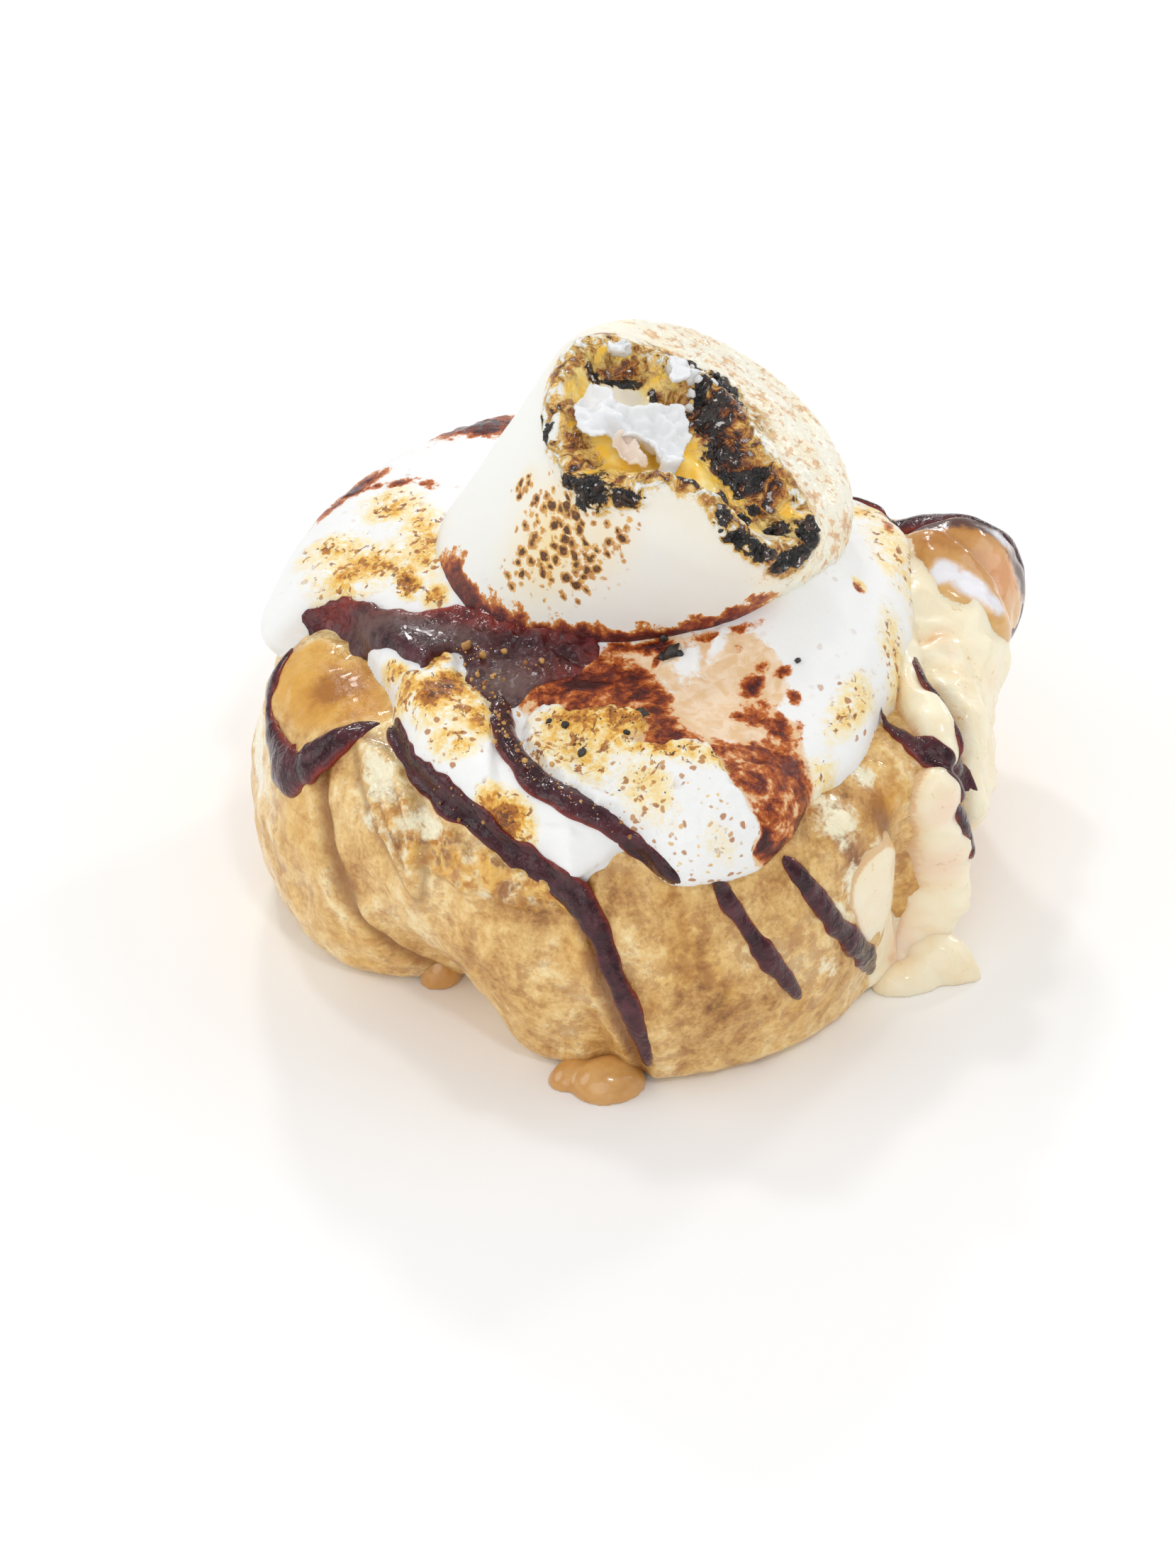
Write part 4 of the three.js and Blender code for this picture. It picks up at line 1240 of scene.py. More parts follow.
@dataclass(frozen=True)
class Melt:
    """Marshmallow melted over the roll."""

    thick: float = 3.2
    edge: float = 4.2
    tuck: float = 1.3
    skirt: float = 1.1
    spacing: float = 0.25
    outline: Region = Region((
        (-27.4, -9.8), (-25.6, -14), (-25.2, -19), (-23, -25.4), (-18, -31.5), (-11, -36.5), (-6.8, -39),
        (-4.6, -38), (-1.8, -36.9), (3, -39.5), (8, -39), (13, -36.4), (17, -30.6), (21.8, -24.4),
        (24.8, -16.6), (28.2, -8), (30, 5), (28, 16), (22, 27), (12, 36), (-3, 39), (-18, 38), (-29, 32),
        (-37, 20), (-40.5, 9), (-40.5, 2), (-37.5, -0.5), (-33, 0.5)))
    swells: Marks = dabs(
        (0, 2, 23, 20, 0, 5), (17, -5, 9, 13, 8, 5.4), (5, -30, 12, 6.5, -38, 2.2), (-22, -20, 5, 8, 24, 1.0),
        (-24, 18, 13, 12, 0, 3.4), (-12, 30, 16, 9, 0, 3.4), (-15, -10, 13, 5, -24, -2.2),
        (-7, -28, 13, 2.6, -48, -1.6), (-22, -30, 13, 2.4, -44, -1.4))
    left_patch: Region = Region((
        (-27.4, -9.5), (-24, -13.6), (-21.5, -15.2), (-20.2, -11.2), (-18.8, -11.8), (-18.4, -16.8),
        (-16.2, -18.6), (-14.7, -22), (-14.6, -27), (-13.6, -31), (-10.4, -34), (-5.3, -36), (0.5, -38.3),
        (-3.5, -37.6), (-5.6, -38), (-7.4, -39.2), (-10, -38.4), (-14.1, -35.2), (-19.5, -31), (-23, -27.6),
        (-25.2, -22.6), (-26, -18), (-26.4, -13.6)))
    front_patch: Region = Region((
        (-11, -21.4), (-9.3, -21.4), (-7.4, -22.4), (-5.4, -23.2), (-3.2, -23.2), (-1, -24), (0.8, -26.4),
        (-0.7, -28.2), (1.5, -29.3), (4.1, -29), (6.5, -29.7), (7.9, -32.4), (9.4, -33.7), (10.6, -35),
        (10.2, -37), (12.8, -37.8), (9, -39.8), (4.8, -40.4), (2.4, -39), (0.4, -37), (-2.6, -35),
        (-6.4, -33), (-9.4, -30.4), (-11.2, -26.6), (-11.8, -23.3)))
    smear_middle: Region = Region((
        (-11.5, -20.4), (-9.6, -15.2), (-4.1, -16.2), (-0.5, -17), (2.2, -20.1), (2.8, -23.4), (5, -27.6),
        (7.8, -28.6), (9, -30.4), (6.6, -30.6), (4, -30), (1.5, -30.2), (-0.2, -28.8), (1, -26.6),
        (-1, -24.8), (-5.4, -23.8), (-9.3, -22)))
    smear_tongue: Region = Region((
        (9.6, -21), (12.4, -20.6), (12.6, -23.6), (14.6, -24), (15.2, -27), (16.1, -29.9), (16.8, -31.7),
        (15.8, -35.4), (13.3, -37.2), (11, -37.2), (9.6, -35.9), (10.4, -34.1), (8.7, -33.1), (8, -31.4),
        (6.8, -29.4), (9.4, -28), (10.2, -24.5)))
    blush: Region = Region((
        (-8, -13), (-3.2, -13.6), (-0.3, -12.6), (5.6, -12.4), (9.8, -12.4), (12.8, -15), (14.6, -19.5),
        (12.6, -24), (9.8, -27.6), (4.1, -27.8), (1.6, -24.6), (2.3, -19.5), (-0.9, -16.9), (-4.1, -16)))
    grain: Grain = Grain(23)
    toasts: Marks = dabs(
        (-20, -18.8, 3.2, 2.2, 60, 0.95), (-18.6, -20.2, 4.6, 3.8, 60, 0.46), (-16, -22.8, 1.8, 3.2, 10, 0.5),
        (-20.6, -13.6, 1.3, 2.8, 0, 0.6), (-25, -12.8, 2.4, 1, -50, 0.5), (-23.4, -17.4, 1.8, 2.8, 0, 0.56),
        (-5.6, -24.8, 5, 1.8, -16, 0.6), (-2.2, -25.8, 3.2, 2.2, 0, 0.8), (-8.8, -26.4, 2.6, 3.8, 0, 0.36),
        (-6, -29.2, 5, 2.6, -40, 0.36), (-2.6, -28, 2.4, 2, -40, 0.5), (1.4, -30.2, 4.8, 1.4, -20, 0.5),
        (5.8, -31.2, 3.4, 1, -20, 0.36), (0, -33.4, 4.4, 2.4, -36, 0.24), (6.6, -36.6, 3, 1.8, -20, 0.16),
        (-13.4, -33.7, 3, 1.9, -38, 0.86), (-18.6, -26, 3, 1.6, -30, 0.36), (-28.6, 3.6, 5.4, 3.8, 10, 0.44),
        (-24.2, 0.4, 1.3, 2.4, 20, 0.9), (-22.2, 6, 2.6, 6, 10, 0.48), (-26, 13.4, 3.4, 4, 20, 0.36),
        (-31.5, 8, 4, 3, 0, 0.3), (-21, -2.6, 1.6, 1.6, 0, 0.44), (20.6, -20.6, 2, 6.4, -30, 0.27),
        (26, -10, 2.6, 7, 0, 0.26), (22, -5, 0.9, 0.9, 0, 0.42), (17.8, -28.4, 2, 3.4, -30, 0.25),
        (27, 6, 4, 9, 10, 0.25), (24, 14, 5, 3, 0, 0.3), (-14, 33, 7, 2.6, 10, 0.5),
        (4, 34.5, 4, 2.2, -8, 0.4), (19, 24, 3, 5, 40, 0.5), (-33, 22, 3, 5, -30, 0.4))
    smears: Marks = dabs(
        (-10, -16, 5, 2.6, -8, 1.0), (-4.6, -16.6, 3.4, 2.4, -8, 0.9), (-5.6, -18.6, 4.6, 2.0, -8, 0.9),
        (-1.4, -20.6, 3.6, 2.4, -30, 0.8), (2.9, -27.2, 1.8, 1.5, 0, 0.8), (-9, -20.6, 2.6, 0.9, -10, 0.8),
        (6.4, -29.6, 2.6, 0.8, -20, 0.74), (1.6, -24, 1.6, 2.2, 20, 0.66), (11, -36, 3.2, 1.7, -10, 0.82),
        (15, -34, 1.5, 2.6, 0, 0.78), (10.8, -19.8, 1.7, 1.2, 80, 0.92), (13.4, -23.6, 0.9, 2.4, 10, 0.6),
        (9.6, -23.4, 1.1, 0.9, 0, 0.8), (10.6, -28, 1, 3, 0, 0.56), (9.4, -14.7, 0.9, 0.7, 0, 0.56),
        (11.7, -17.4, 0.9, 0.7, 40, 0.62), (14, -17.9, 1.1, 0.6, 30, 0.55), (15, -20.4, 0.8, 1.1, 0, 0.5),
        (5.6, -18.5, 0.7, 0.5, 0, 0.5), (15.6, -24.5, 0.7, 1.4, 0, 0.52), (7, -13.4, 4.4, 0.7, 12, 0.6),
        (1, -14, 4.6, 0.9, -8, 0.84), (14, -28, 1.4, 4, 20, 0.5), (1.7, -15.2, 1.8, 0.4, 70, 0.5),
        (5.3, -14.1, 1.6, 0.4, 100, 0.5), (14.6, -31.6, 0.9, 0.9, 0, 0.7), (11.2, -32.2, 0.7, 0.9, 0, 0.7),
        (11.4, -29, 3, 0.7, -60, 0.56), (-29.6, 18.2, 3.6, 1.0, 42, 1), (-26, 17.8, 3.4, 0.8, -4, 0.66),
        (-22.6, 16.6, 2.4, 0.8, -50, 0.5), (-17, 29.4, 4, 3, 16, 1.1), (-8, 35, 6, 1.2, -6, 0.8),
        (8, 34.4, 5, 1.2, -20, 0.8), (21.8, -5.8, 0.8, 0.8, 0, 0.4), (26.4, 11.6, 0.8, 1.8, 0, 0.4))
    sponges: Marks = dabs((21, -20, 2.4, 6, -30, 0.3), (-18.8, -27, 4, 2.4, -40, 0.4))
    folds: Marks = dabs(
        (5.3, -16.6, 0.7, 3.4, 4), (7.4, -14, 0.5, 2, -24), (3.2, -16.4, 1.6, 0.6, 30),
        (10.2, -26, 1.6, 0.6, 40))
    chars: Marks = dabs(
        (-2.4, -25.2, 3, 1.1, 0, 0.7), (-5.6, -27, 3.4, 1.6, 20, 0.46), (-9, -24.2, 1.8, 0.8, 0, 0.5),
        (2.6, -30.6, 4, 1, -16, 0.42), (0, -31, 4, 2.4, -40, 0.3), (-20.5, -18, 2.4, 2.6, 0, 0.36),
        (-23.4, -18.4, 1.4, 1.6, 0, 0.3), (-24.2, 0.2, 1.4, 2, 20, 0.5))
    whites: Marks = dabs(
        (4.6, -16.4, 1.5, 3, 4), (7.4, -14.6, 0.7, 2.6, -24), (11, -26, 2.2, 1.0, 50))

    def base(self, x: Array, y: Array) -> Array:
        """The melt's thickness before its fine relief."""
        full = self.thick + sum(swell.at(x, y) for swell in self.swells)
        uneven = 0.55 * self.grain.rough(BUN.lay(x, y), 6, 2)
        q = np.clip((self.outline.depth(x, y) + uneven) / self.edge, -1, 1)
        return bulge(q, full, self.tuck)

    def smear(self, x: Array, y: Array) -> Array:
        """How thick the sauce is that is smeared over the melt."""
        middle = 0.58 * step(self.smear_middle.depth(x, y), -1.6, 1.0)
        tongue = 0.5 * step(self.smear_tongue.depth(x, y), -1.4, 1.2)
        return np.maximum.reduce([middle, tongue, highest(self.smears, x, y)])

    def surface(self, x: Array, y: Array) -> tuple[Array, dict[str, Array]]:
        """The melt's thickness with its fine relief, and its colour.

        Args:
            x: first coordinates on the unrolled top.
            y: second coordinates.

        Returns:
            The thickness, and the levels that the finish reads.
        """
        base = self.base(x, y)
        at = BUN.lay(x, y, base)
        ragged = 0.45 * self.grain.rough(at, 1.6, 2)
        left = self.left_patch.depth(x, y) + 0.5 * ragged
        front = self.front_patch.depth(x, y) + ragged
        on_left, on_front = step(left, -0.1, 0.6), step(front, -0.1, 0.8)
        toast, smear = highest(self.toasts, x, y), self.smear(x, y)
        smear = smear * (1 - 0.9 * step(front, -0.2, 0.4)) * (1 - step(left, -0.2, 0.3))
        sponge = np.maximum(on_front * 0.85, 0.4 * step(toast, 0.12, 0.4))
        sponge = np.maximum(sponge, highest(self.sponges, x, y))
        bubbles = 0.5 - self.grain.cells(at, 1.5)[0]
        wide = 0.22 * self.grain.rough(at, 6.5, 2)
        relief = wide + toast * (0.55 * bubbles + 0.4 * self.grain.rough(at, 2.2, 3))
        relief += 0.3 * on_front * bubbles + 0.2 * sponge * self.grain.rough(at, 1.0, 2)
        relief += 0.16 * step(smear, 0.2, 0.5) * self.grain.rough(at + 9, 1.5, 3)
        fold = highest(self.folds, x, y)
        inside = step(self.outline.depth(x, y), 0.2, 3)
        lift = base + inside * (relief + 0.45 * fold) + 0.8 * on_left * inside + 1.4 * on_front * inside
        char = highest(self.chars, x, y)
        white = highest(self.whites, x, y)
        smear = smear * (1 - 0.9 * white)
        blush = 0.85 * step(self.blush.depth(x, y), -0.8, 1.2) * (1 - 0.85 * white)
        under_smear = np.maximum(self.smear_tongue.depth(x, y), self.smear_middle.depth(x, y))
        blush = np.maximum(blush, 0.9 * step(under_smear, -1.6, 0.2))
        patches = np.maximum(on_left, on_front)
        return lift, {"toast": toast, "sponge": sponge, "smear": smear, "blush": blush * (1 - patches),
                      "char": char}

    def build(self) -> None:
        """Makes the melt."""
        piece = patch("melted_marshmallow_layer", self.outline, 2, self.spacing,
                      lambda x, y: self.outline.depth(x, y) > -self.skirt, two_sided=False)
        x, y = piece.flat
        lift, levels = self.surface(x, y)
        at = BUN.lay(x, y, lift)
        at[~piece.top] = (0, 0, BUN.height + BUN.crown - 1)
        piece.move(at)
        piece.mark(**levels)
        piece.finish(MeltFinish().dress(), Slot.MELT, "melted_marshmallow")


MELT = Melt()


@dataclass(frozen=True)
class Marshmallow:
    """The whole marshmallow, toasted and burst at its upper end."""

    at: tuple[float, float, float] = (-1.2, 5.4, 35.2)
    lean_right: float = 29
    lean_forward: float = 5
    radius: float = 18.4
    flare: float = 0.3
    above: float = 20.2
    below: float = 11
    shoulder: float = 5.5
    dome: float = 1.6
    bed: float = 1.6
    sides: int = 450
    spacing: float = 0.23
    crater: Region = Region((
        (-17.5, 1), (-15, 3.4), (-10, 3.6), (-6, 2.6), (-2, 0.8), (2.6, -3), (6.4, -7), (9.8, -10.2),
        (10.2, -13), (7.2, -15.8), (3, -16.2), (-1.6, -14.4), (-5.6, -14.2), (-10, -15.4), (-15, -15.2),
        (-18, -11.8), (-18.8, -6)))
    depth: float = 2.3
    slope: float = 2.8
    lip: float = 1.1
    lip_width: float = 2
    clumps: Marks = dabs(
        (-13.9, -16.4, 2.6, 2.2), (-16.4, -15, 1.4, 1.2), (-9.7, -16.7, 1.8, 1.0), (-20.7, -6.7, 0.6, 1.4),
        (-19.4, -9.2, 0.7, 1.6, -30), (-14.9, 0.2, 1.3, 1.0), (-11.6, 0.9, 2.2, 0.6, 10),
        (-8, -0.6, 0.6, 2.2, 8), (-4.6, 5.3, 1, 0.9), (-1.5, 5.1, 1.3, 1), (-0.4, 3.5, 1.5, 1.5),
        (-3.6, 0.6, 0.9, 1.6), (0.6, 1.5, 1.4, 1.2), (-1.9, -3.8, 1.7, 1.0), (-1, -6.4, 1.2, 1.4),
        (1.9, -7.6, 1.6, 1.1, -30), (4.1, -6.8, 1.1, 0.9), (2.6, -9.2, 1.5, 0.9, -30), (1.3, -11.4, 1.0, 1.0),
        (3.9, -12.2, 1.0, 0.9), (4.9, -10.4, 0.9, 0.8), (7.6, -12.2, 1.3, 1.6), (10.4, -12.2, 1.5, 1.8),
        (10, -14.5, 1.6, 1.6), (8.7, -16.2, 1.8, 1.2, 30), (5.2, -17, 1.6, 1.0), (2.6, -17, 1.6, 0.9),
        (0.4, -15.9, 1.2, 1.0, -30), (-4.6, -13.4, 1.4, 0.6, -24))
    grain: Grain = Grain(31)
    embers: Marks = dabs(
        (0.8, -5.4, 7.4, 2.6, -40, 1.15), (-1.6, -1.6, 2.4, 3.4, 0, 1.15), (-3, 3.4, 3, 2, 0, 0.9),
        (-12.6, 1.4, 3.4, 1.2, 10, 0.85), (-7.6, -0.6, 0.9, 2.4, 8, 0.8), (-15.6, -13.6, 1.8, 2, 0, 0.7),
        (2.8, -11.6, 2.6, 0.9, -30, 0.7), (-16.6, -11, 1.2, 3, 20, 0.6), (6.4, -16.8, 4, 0.9, 0, 0.8),
        (10, -14, 1.2, 2.6, 0, 0.8))
    bridges: Marks = dabs((-3, -9.6, 3.2, 2.2, -40), (-2.2, -5.4, 2.4, 1.8))
    scorched: Marks = dabs(
        (-19, -21.5, 5.2, 6, 30, 0.78), (-14, -25, 4.2, 4.6, 0, 0.56), (-25.4, -12.8, 1.9, 1.5, 0, 0.85),
        (-24.4, -23.6, 3.4, 4, 0, 0.5), (-10, -21, 2.2, 3.6, 0, 0.4), (20, 18, 6, 5, 30, 0.6),
        (-4, 30, 7, 4, 0, 0.55), (30, -4, 4, 6, 0, 0.4))
    tinted: Marks = dabs(
        (-19.5, -22, 7, 7.4, 20, 0.9), (-12, -22, 4.6, 6, 0, 0.5), (-24.8, -12.8, 2.4, 2, 0, 0.6),
        (20, 18, 9, 7, 30, 0.5), (-4, 30, 9, 6, 0, 0.5))
    haloes: Marks = dabs(
        (-17.6, -9, 1.6, 6, 12, 0.52), (-18.6, -2.6, 1.6, 3.4, -20, 0.4), (-15, 5.5, 2.4, 0.8, 20, 0.8),
        (-8, 6, 4, 1.2, -10, 0.42), (2, 0, 3, 3, 40, 0.42), (8, -7.5, 2.6, 1.4, -40, 0.42))
    creams: Marks = dabs(
        (5.6, -14.6, 4.4, 1.8, 20, 1), (-11, -1.6, 5, 2.8, -14, 1), (-1, -11.4, 2, 1.6, 0, 0.4))

    @cached_property
    def matrix(self) -> Array:
        """How the marshmallow's own axes lie in the bun's."""
        return np.array(Matrix.Rotation(math.radians(self.lean_right), 3, "Y") @ Matrix.Rotation(
            math.radians(self.lean_forward), 3, "X"))

    @property
    def flat_end(self) -> float:
        """The run where the shoulder starts."""
        return self.radius - self.shoulder

    @property
    def shoulder_end(self) -> float:
        """The run where the barrel starts."""
        return self.flat_end + math.pi / 2 * self.shoulder

    @property
    def barrel_end(self) -> float:
        """The run of the sunk end's edge."""
        return self.shoulder_end + self.above + self.below - self.shoulder

    def place(self, x: Array, y: Array, lift: Array | float = 0.0) -> Array:
        """Points on the marshmallow, from its skin rolled out round the toasted end's middle.

        Args:
            x: first coordinates.
            y: second coordinates.
            lift: how far each point is raised off the skin.

        Returns:
            The points, one to a row.
        """
        run, turn = np.hypot(x, y), np.arctan2(y, x)
        q = run / self.flat_end
        a = np.clip((run - self.flat_end) / self.shoulder, 0, math.pi / 2)
        down = run - self.shoulder_end
        share = down / (self.barrel_end - self.shoulder_end)
        zone = [run < self.flat_end, run < self.shoulder_end, run <= self.barrel_end + 1e-6]
        under = np.maximum(self.barrel_end + self.radius + self.flare - run, 0)
        rho = [run, self.flat_end + self.shoulder * np.sin(a), self.radius + self.flare * share**2]
        z = [self.above + self.dome * (1 - q * q), self.above - self.shoulder * (1 - np.cos(a)),
             self.above - self.shoulder - down]
        z = np.select(zone, z, -self.below)
        out = np.select(zone, [0.2 * q, np.sin(a), np.ones_like(run)], 0.0)
        up = np.select(zone, [np.ones_like(run), np.cos(a), np.zeros_like(run)], -1.0)
        far = np.select(zone, rho, under) + lift * out
        own = np.stack([far * np.cos(turn), far * np.sin(turn), z + lift * up], axis=-1)
        return own @ self.matrix.T + np.array(self.at)

    def surface(self, x: Array, y: Array) -> tuple[Array, dict[str, Array]]:
        """The skin's relief and colour.

        Args:
            x: first coordinates on the rolled-out skin.
            y: second coordinates.

        Returns:
            How far each point is raised, and the levels that the finish reads.
        """
        at = self.place(x, y)
        run = np.hypot(x, y)
        depth = self.crater.depth(x, y)
        ragged = depth + 0.5 * self.grain.rough(at, 2.0, 3)
        clump = highest(self.clumps, x, y)
        ember = highest(self.embers, x, y)
        rim = bell(depth - 0.2, 1.7)
        near, next_near = self.grain.cells(at, 1.7)
        chunks = np.clip(next_near - near, 0, 0.45) / 0.45
        lift = self.lip * bell(depth, self.lip_width) - self.depth * step(ragged, 0, self.slope)
        bridge = highest(self.bridges, x, y)
        lift += 1.5 * bridge * step(ragged, 0, 2)
        fade = step(run, self.shoulder_end + 6, self.shoulder_end)
        lift += fade * clump * (0.5 * chunks - 0.1 + 0.7 * self.grain.rough(at, 1.8, 3))
        lift += fade * 0.6 * np.maximum(rim, ember) * self.grain.rough(at + 7, 1.9, 3)
        turn = np.degrees(np.arctan2(y, x))
        shaded = step(np.abs(turn_between(turn, 40)), 118, 76)
        speck = shaded * step(run, 28, 20) * step(depth, 0.6, -1.4)
        speck = np.maximum(speck, 0.45 * step(run, 17, 14) * step(depth, 0.6, -1.4))
        lift += speck * (0.12 * self.grain.rough(at, 0.9, 2) + 0.1 * self.grain.smooth(at, 2.4))
        lift += 0.12 * self.grain.smooth(at, 9) + 0.05 * self.grain.smooth(at, 3)
        spots = highest(self.scorched, x, y)
        spots = np.minimum(1.9 * spots, 0.82)
        tint = highest(self.tinted, x, y)
        tint = np.maximum(tint, 0.24 * step(run, 24, 17) * step(depth, 1, -2))
        halo = np.maximum.reduce([0.3 * rim, 0.85 * clump, ember])
        halo = np.maximum(halo, highest(self.haloes, x, y))
        amber = step(depth, 0.3, 1.6)
        cream = highest(self.creams, x, y)
        # Where the barrel sinks into sauce, which has crept a little way up it.
        foot = at[:, 2] - (BUN.height + BUN.crown + MELT.base(at[:, 0], at[:, 1]) - 0.4)
        front = step(np.abs(turn_between(turn, 248)), 64, 40)
        creep = 3.0 + 0.9 * bell(turn_between(turn, 232), 12)
        stain = front * step(foot + 1.1 * self.grain.rough(at, 2.2, 3), creep, 0.2)
        stain = np.maximum(stain, front * Dab(-37.4, -22.5, 1.4, 2, 30, 0.6).at(x, y))
        char = np.maximum.reduce([clump, 0.24 * rim, 0.33 * ember])
        halo = halo * (1 - 0.7 * cream * step(depth, 1, 2)) * fade
        return lift, {"tint": tint, "spots": spots, "speck": speck, "char": char, "halo": halo,
                      "amber": amber, "cream": cream, "stain": stain}

    def build(self) -> None:
        """Makes the marshmallow."""
        end = self.barrel_end + self.radius + self.flare
        runs = [*np.arange(0.9, 42, self.spacing), 43.5, self.barrel_end, 53, end]
        piece = Piece("marshmallow_whole", disc(runs, self.sides))
        x, y = piece.flat
        lift, levels = self.surface(x, y)
        at = self.place(x, y, lift)
        crown = BUN.section(np.hypot(at[:, 0], at[:, 1]))[1] + self.bed
        at[:, 2] = np.maximum(at[:, 2], crown)
        piece.move(at)
        piece.mark(**levels)
        piece.finish(MallowFinish().dress(), Slot.TOASTED, "marshmallow")


MALLOW = Marshmallow()


@dataclass(frozen=True)
class Flake:
    """A torn flake of white skin on the marshmallow."""

    name: str
    nodes: tuple[str, ...]
    region: Region
    stand: float
    thick: float
    blush: float = 0
    spacing: float = 0.16
    bite: float = 0.2
    clings: float = 1.2
    free: float = 2.2

    def build(self, material: Material) -> None:
        """Makes the flake.

        Args:
            material: its finish.
        """
        grain = Grain(41 + len(self.name))
        chart = lambda x, y: np.stack([x, y, np.zeros_like(x)], axis=-1)
        torn = lambda x, y: self.region.depth(x, y) + 0.4 * grain.rough(chart(x, y), 1.7, 3)
        piece = patch(self.name, self.region, 0.4, self.spacing, lambda x, y: torn(x, y) > 0)
        x, y = piece.flat
        flat = chart(x, y)
        edge = np.clip(torn(x, y) / 0.9, 0, 1)
        wave = 0.45 * grain.rough(flat, 3.4, 2) + 0.14 * grain.rough(flat, 1.1, 2)
        curl = 0.35 * step(edge, 1, 0)
        stand = self.stand + wave + curl
        # Where the marshmallow comes close the flake sticks to it, and elsewhere it stands over the hollow.
        gap = stand - 0.5 * self.thick - MALLOW.surface(x, y)[0]
        stand = stand - step(gap, self.free, self.clings) * (gap + self.bite)
        half = self.thick * dome(edge) * 0.5
        piece.move(MALLOW.place(x, y, np.where(piece.top, stand + half, stand - half)))
        piece.mark(blush=np.full(len(x), self.blush))
        piece.finish(material, Slot.SKIN, *self.nodes)


FLAKES = (
    Flake("skin_flap_torn", ("skin_flap",), Region((
        (-16.8, -4.4), (-15.2, -3.6), (-13.8, -4.2), (-12.2, -6), (-9.6, -5.2), (-6.4, -3.4), (-5.2, -3.6),
        (-4.4, -6), (-4.5, -8.6), (-4.9, -11.2), (-5.8, -12.6), (-7.2, -12), (-8.8, -10.2), (-11, -9.6),
        (-12.8, -10.3), (-14.6, -10.6), (-15.8, -9.4), (-16.8, -7.2))), 0.0, 0.8),
    Flake("skin_flake_back_torn", ("skin_flake_back",), Region((
        (-14.4, 1.8), (-13.2, 3.4), (-12, 4.2), (-11.4, 3.2), (-12.2, 1.8), (-13.2, 0.3),
        (-14.2, 0.7))), 1.7, 0.7),
    Flake("skin_flake_side_torn", ("skin_flake_side",), Region((
        (-7.9, 2.4), (-7.2, 3.9), (-6.3, 4.6), (-5.6, 3), (-5.7, 0.6), (-6.4, -1.2), (-7.4, -2.2),
        (-7.9, -0.2))), 1.7, 0.7),
    Flake("skin_flake_pink", (), Region((
        (-12.4, -10.6), (-11.6, -9.0), (-10.4, -9.0), (-9.8, -10.4), (-8.7, -12), (-8.4, -12.8),
        (-9.6, -12.7), (-11.2, -12.2))), -0.3, 0.6, 0.8),
)


# ---- icing, chocolate


@dataclass(frozen=True)
class Stream:
    """A run of icing: its middle line by angle and run, half width and thickness."""

    route: tuple[tuple[float, float], ...]
    width: float
    thick: float

    @cached_property
    def line(self) -> Array:
        """The middle line's points on the bun."""
        turns = smooth_curve(self.route, 12, False)
        return BUN.place(turns[:, 0], turns[:, 1])


@dataclass(frozen=True)
class Icing:
    """Icing down the right of the bun, in one piece."""

    name: str
    node: str
    streams: tuple[Stream, ...]
    blush: Marks
    amber: Marks = dabs((0, 0, 1, 1, 0, 0))
    tuck: float = 1.2
    spacing: float = 0.3
    arc: float = 40.0

    def thickness(self, angle: Array, run: Array) -> Array:
        """The icing's thickness over the bun."""
        here = BUN.place(angle, run)
        most = np.full(len(here), -self.tuck)
        for stream in self.streams:
            near = np.min([np.linalg.norm(here - p, axis=1) for p in stream.line], axis=0)
            q = np.clip((stream.width - near) / stream.width, -1, 1)
            most = np.maximum(most, bulge(q, stream.thick, self.tuck))
        return most

    def build(self, material: Material) -> None:
        """Makes the icing.

        Args:
            material: its finish.
        """
        route = np.vstack([s.route for s in self.streams])
        wide = max(s.width for s in self.streams)
        low = (math.radians(route[:, 0].min()) * self.arc - wide - 2, route[:, 1].min() - wide - 2)
        high = (math.radians(route[:, 0].max()) * self.arc + wide + 2,
                min(route[:, 1].max() + wide + 2, BUN.foot_end))
        thick = lambda u, v: self.thickness(np.degrees(u / self.arc), v)
        keep = lambda u, v: thick(u, v) > -0.95 * self.tuck
        piece = Piece(self.name, sheet(low, high, self.spacing, keep))
        u, run = piece.flat
        angle = np.degrees(u / self.arc)
        grain = Grain(57)
        at = BUN.place(angle, run)
        ridges = 1 - 2 * np.abs(grain.smooth(at + 9, 3.4))
        waves = 0.7 * grain.rough(at, 5.2, 2) + 0.3 * ridges + 0.2 * grain.smooth(at, 2)
        plain = thick(u, run)
        top = plain + waves * min(1, self.streams[0].thick / 2)
        at = BUN.place(angle, run, np.where(piece.top, top, -self.tuck - 0.35))
        at[:, 2] = np.maximum(at[:, 2], 0)
        piece.move(at)
        # Painted shade goes in the troughs of the waves and at the thin edges.
        hollow = np.maximum(step(plain, 0.55 * self.streams[0].thick, 0.1), step(-waves, 0, 0.7))
        amber, blush = highest(self.amber, angle, run), highest(self.blush, angle, run)
        piece.mark(amber=amber, blush=blush, hollow=hollow)
        piece.finish(material, Slot.ICING, self.node)


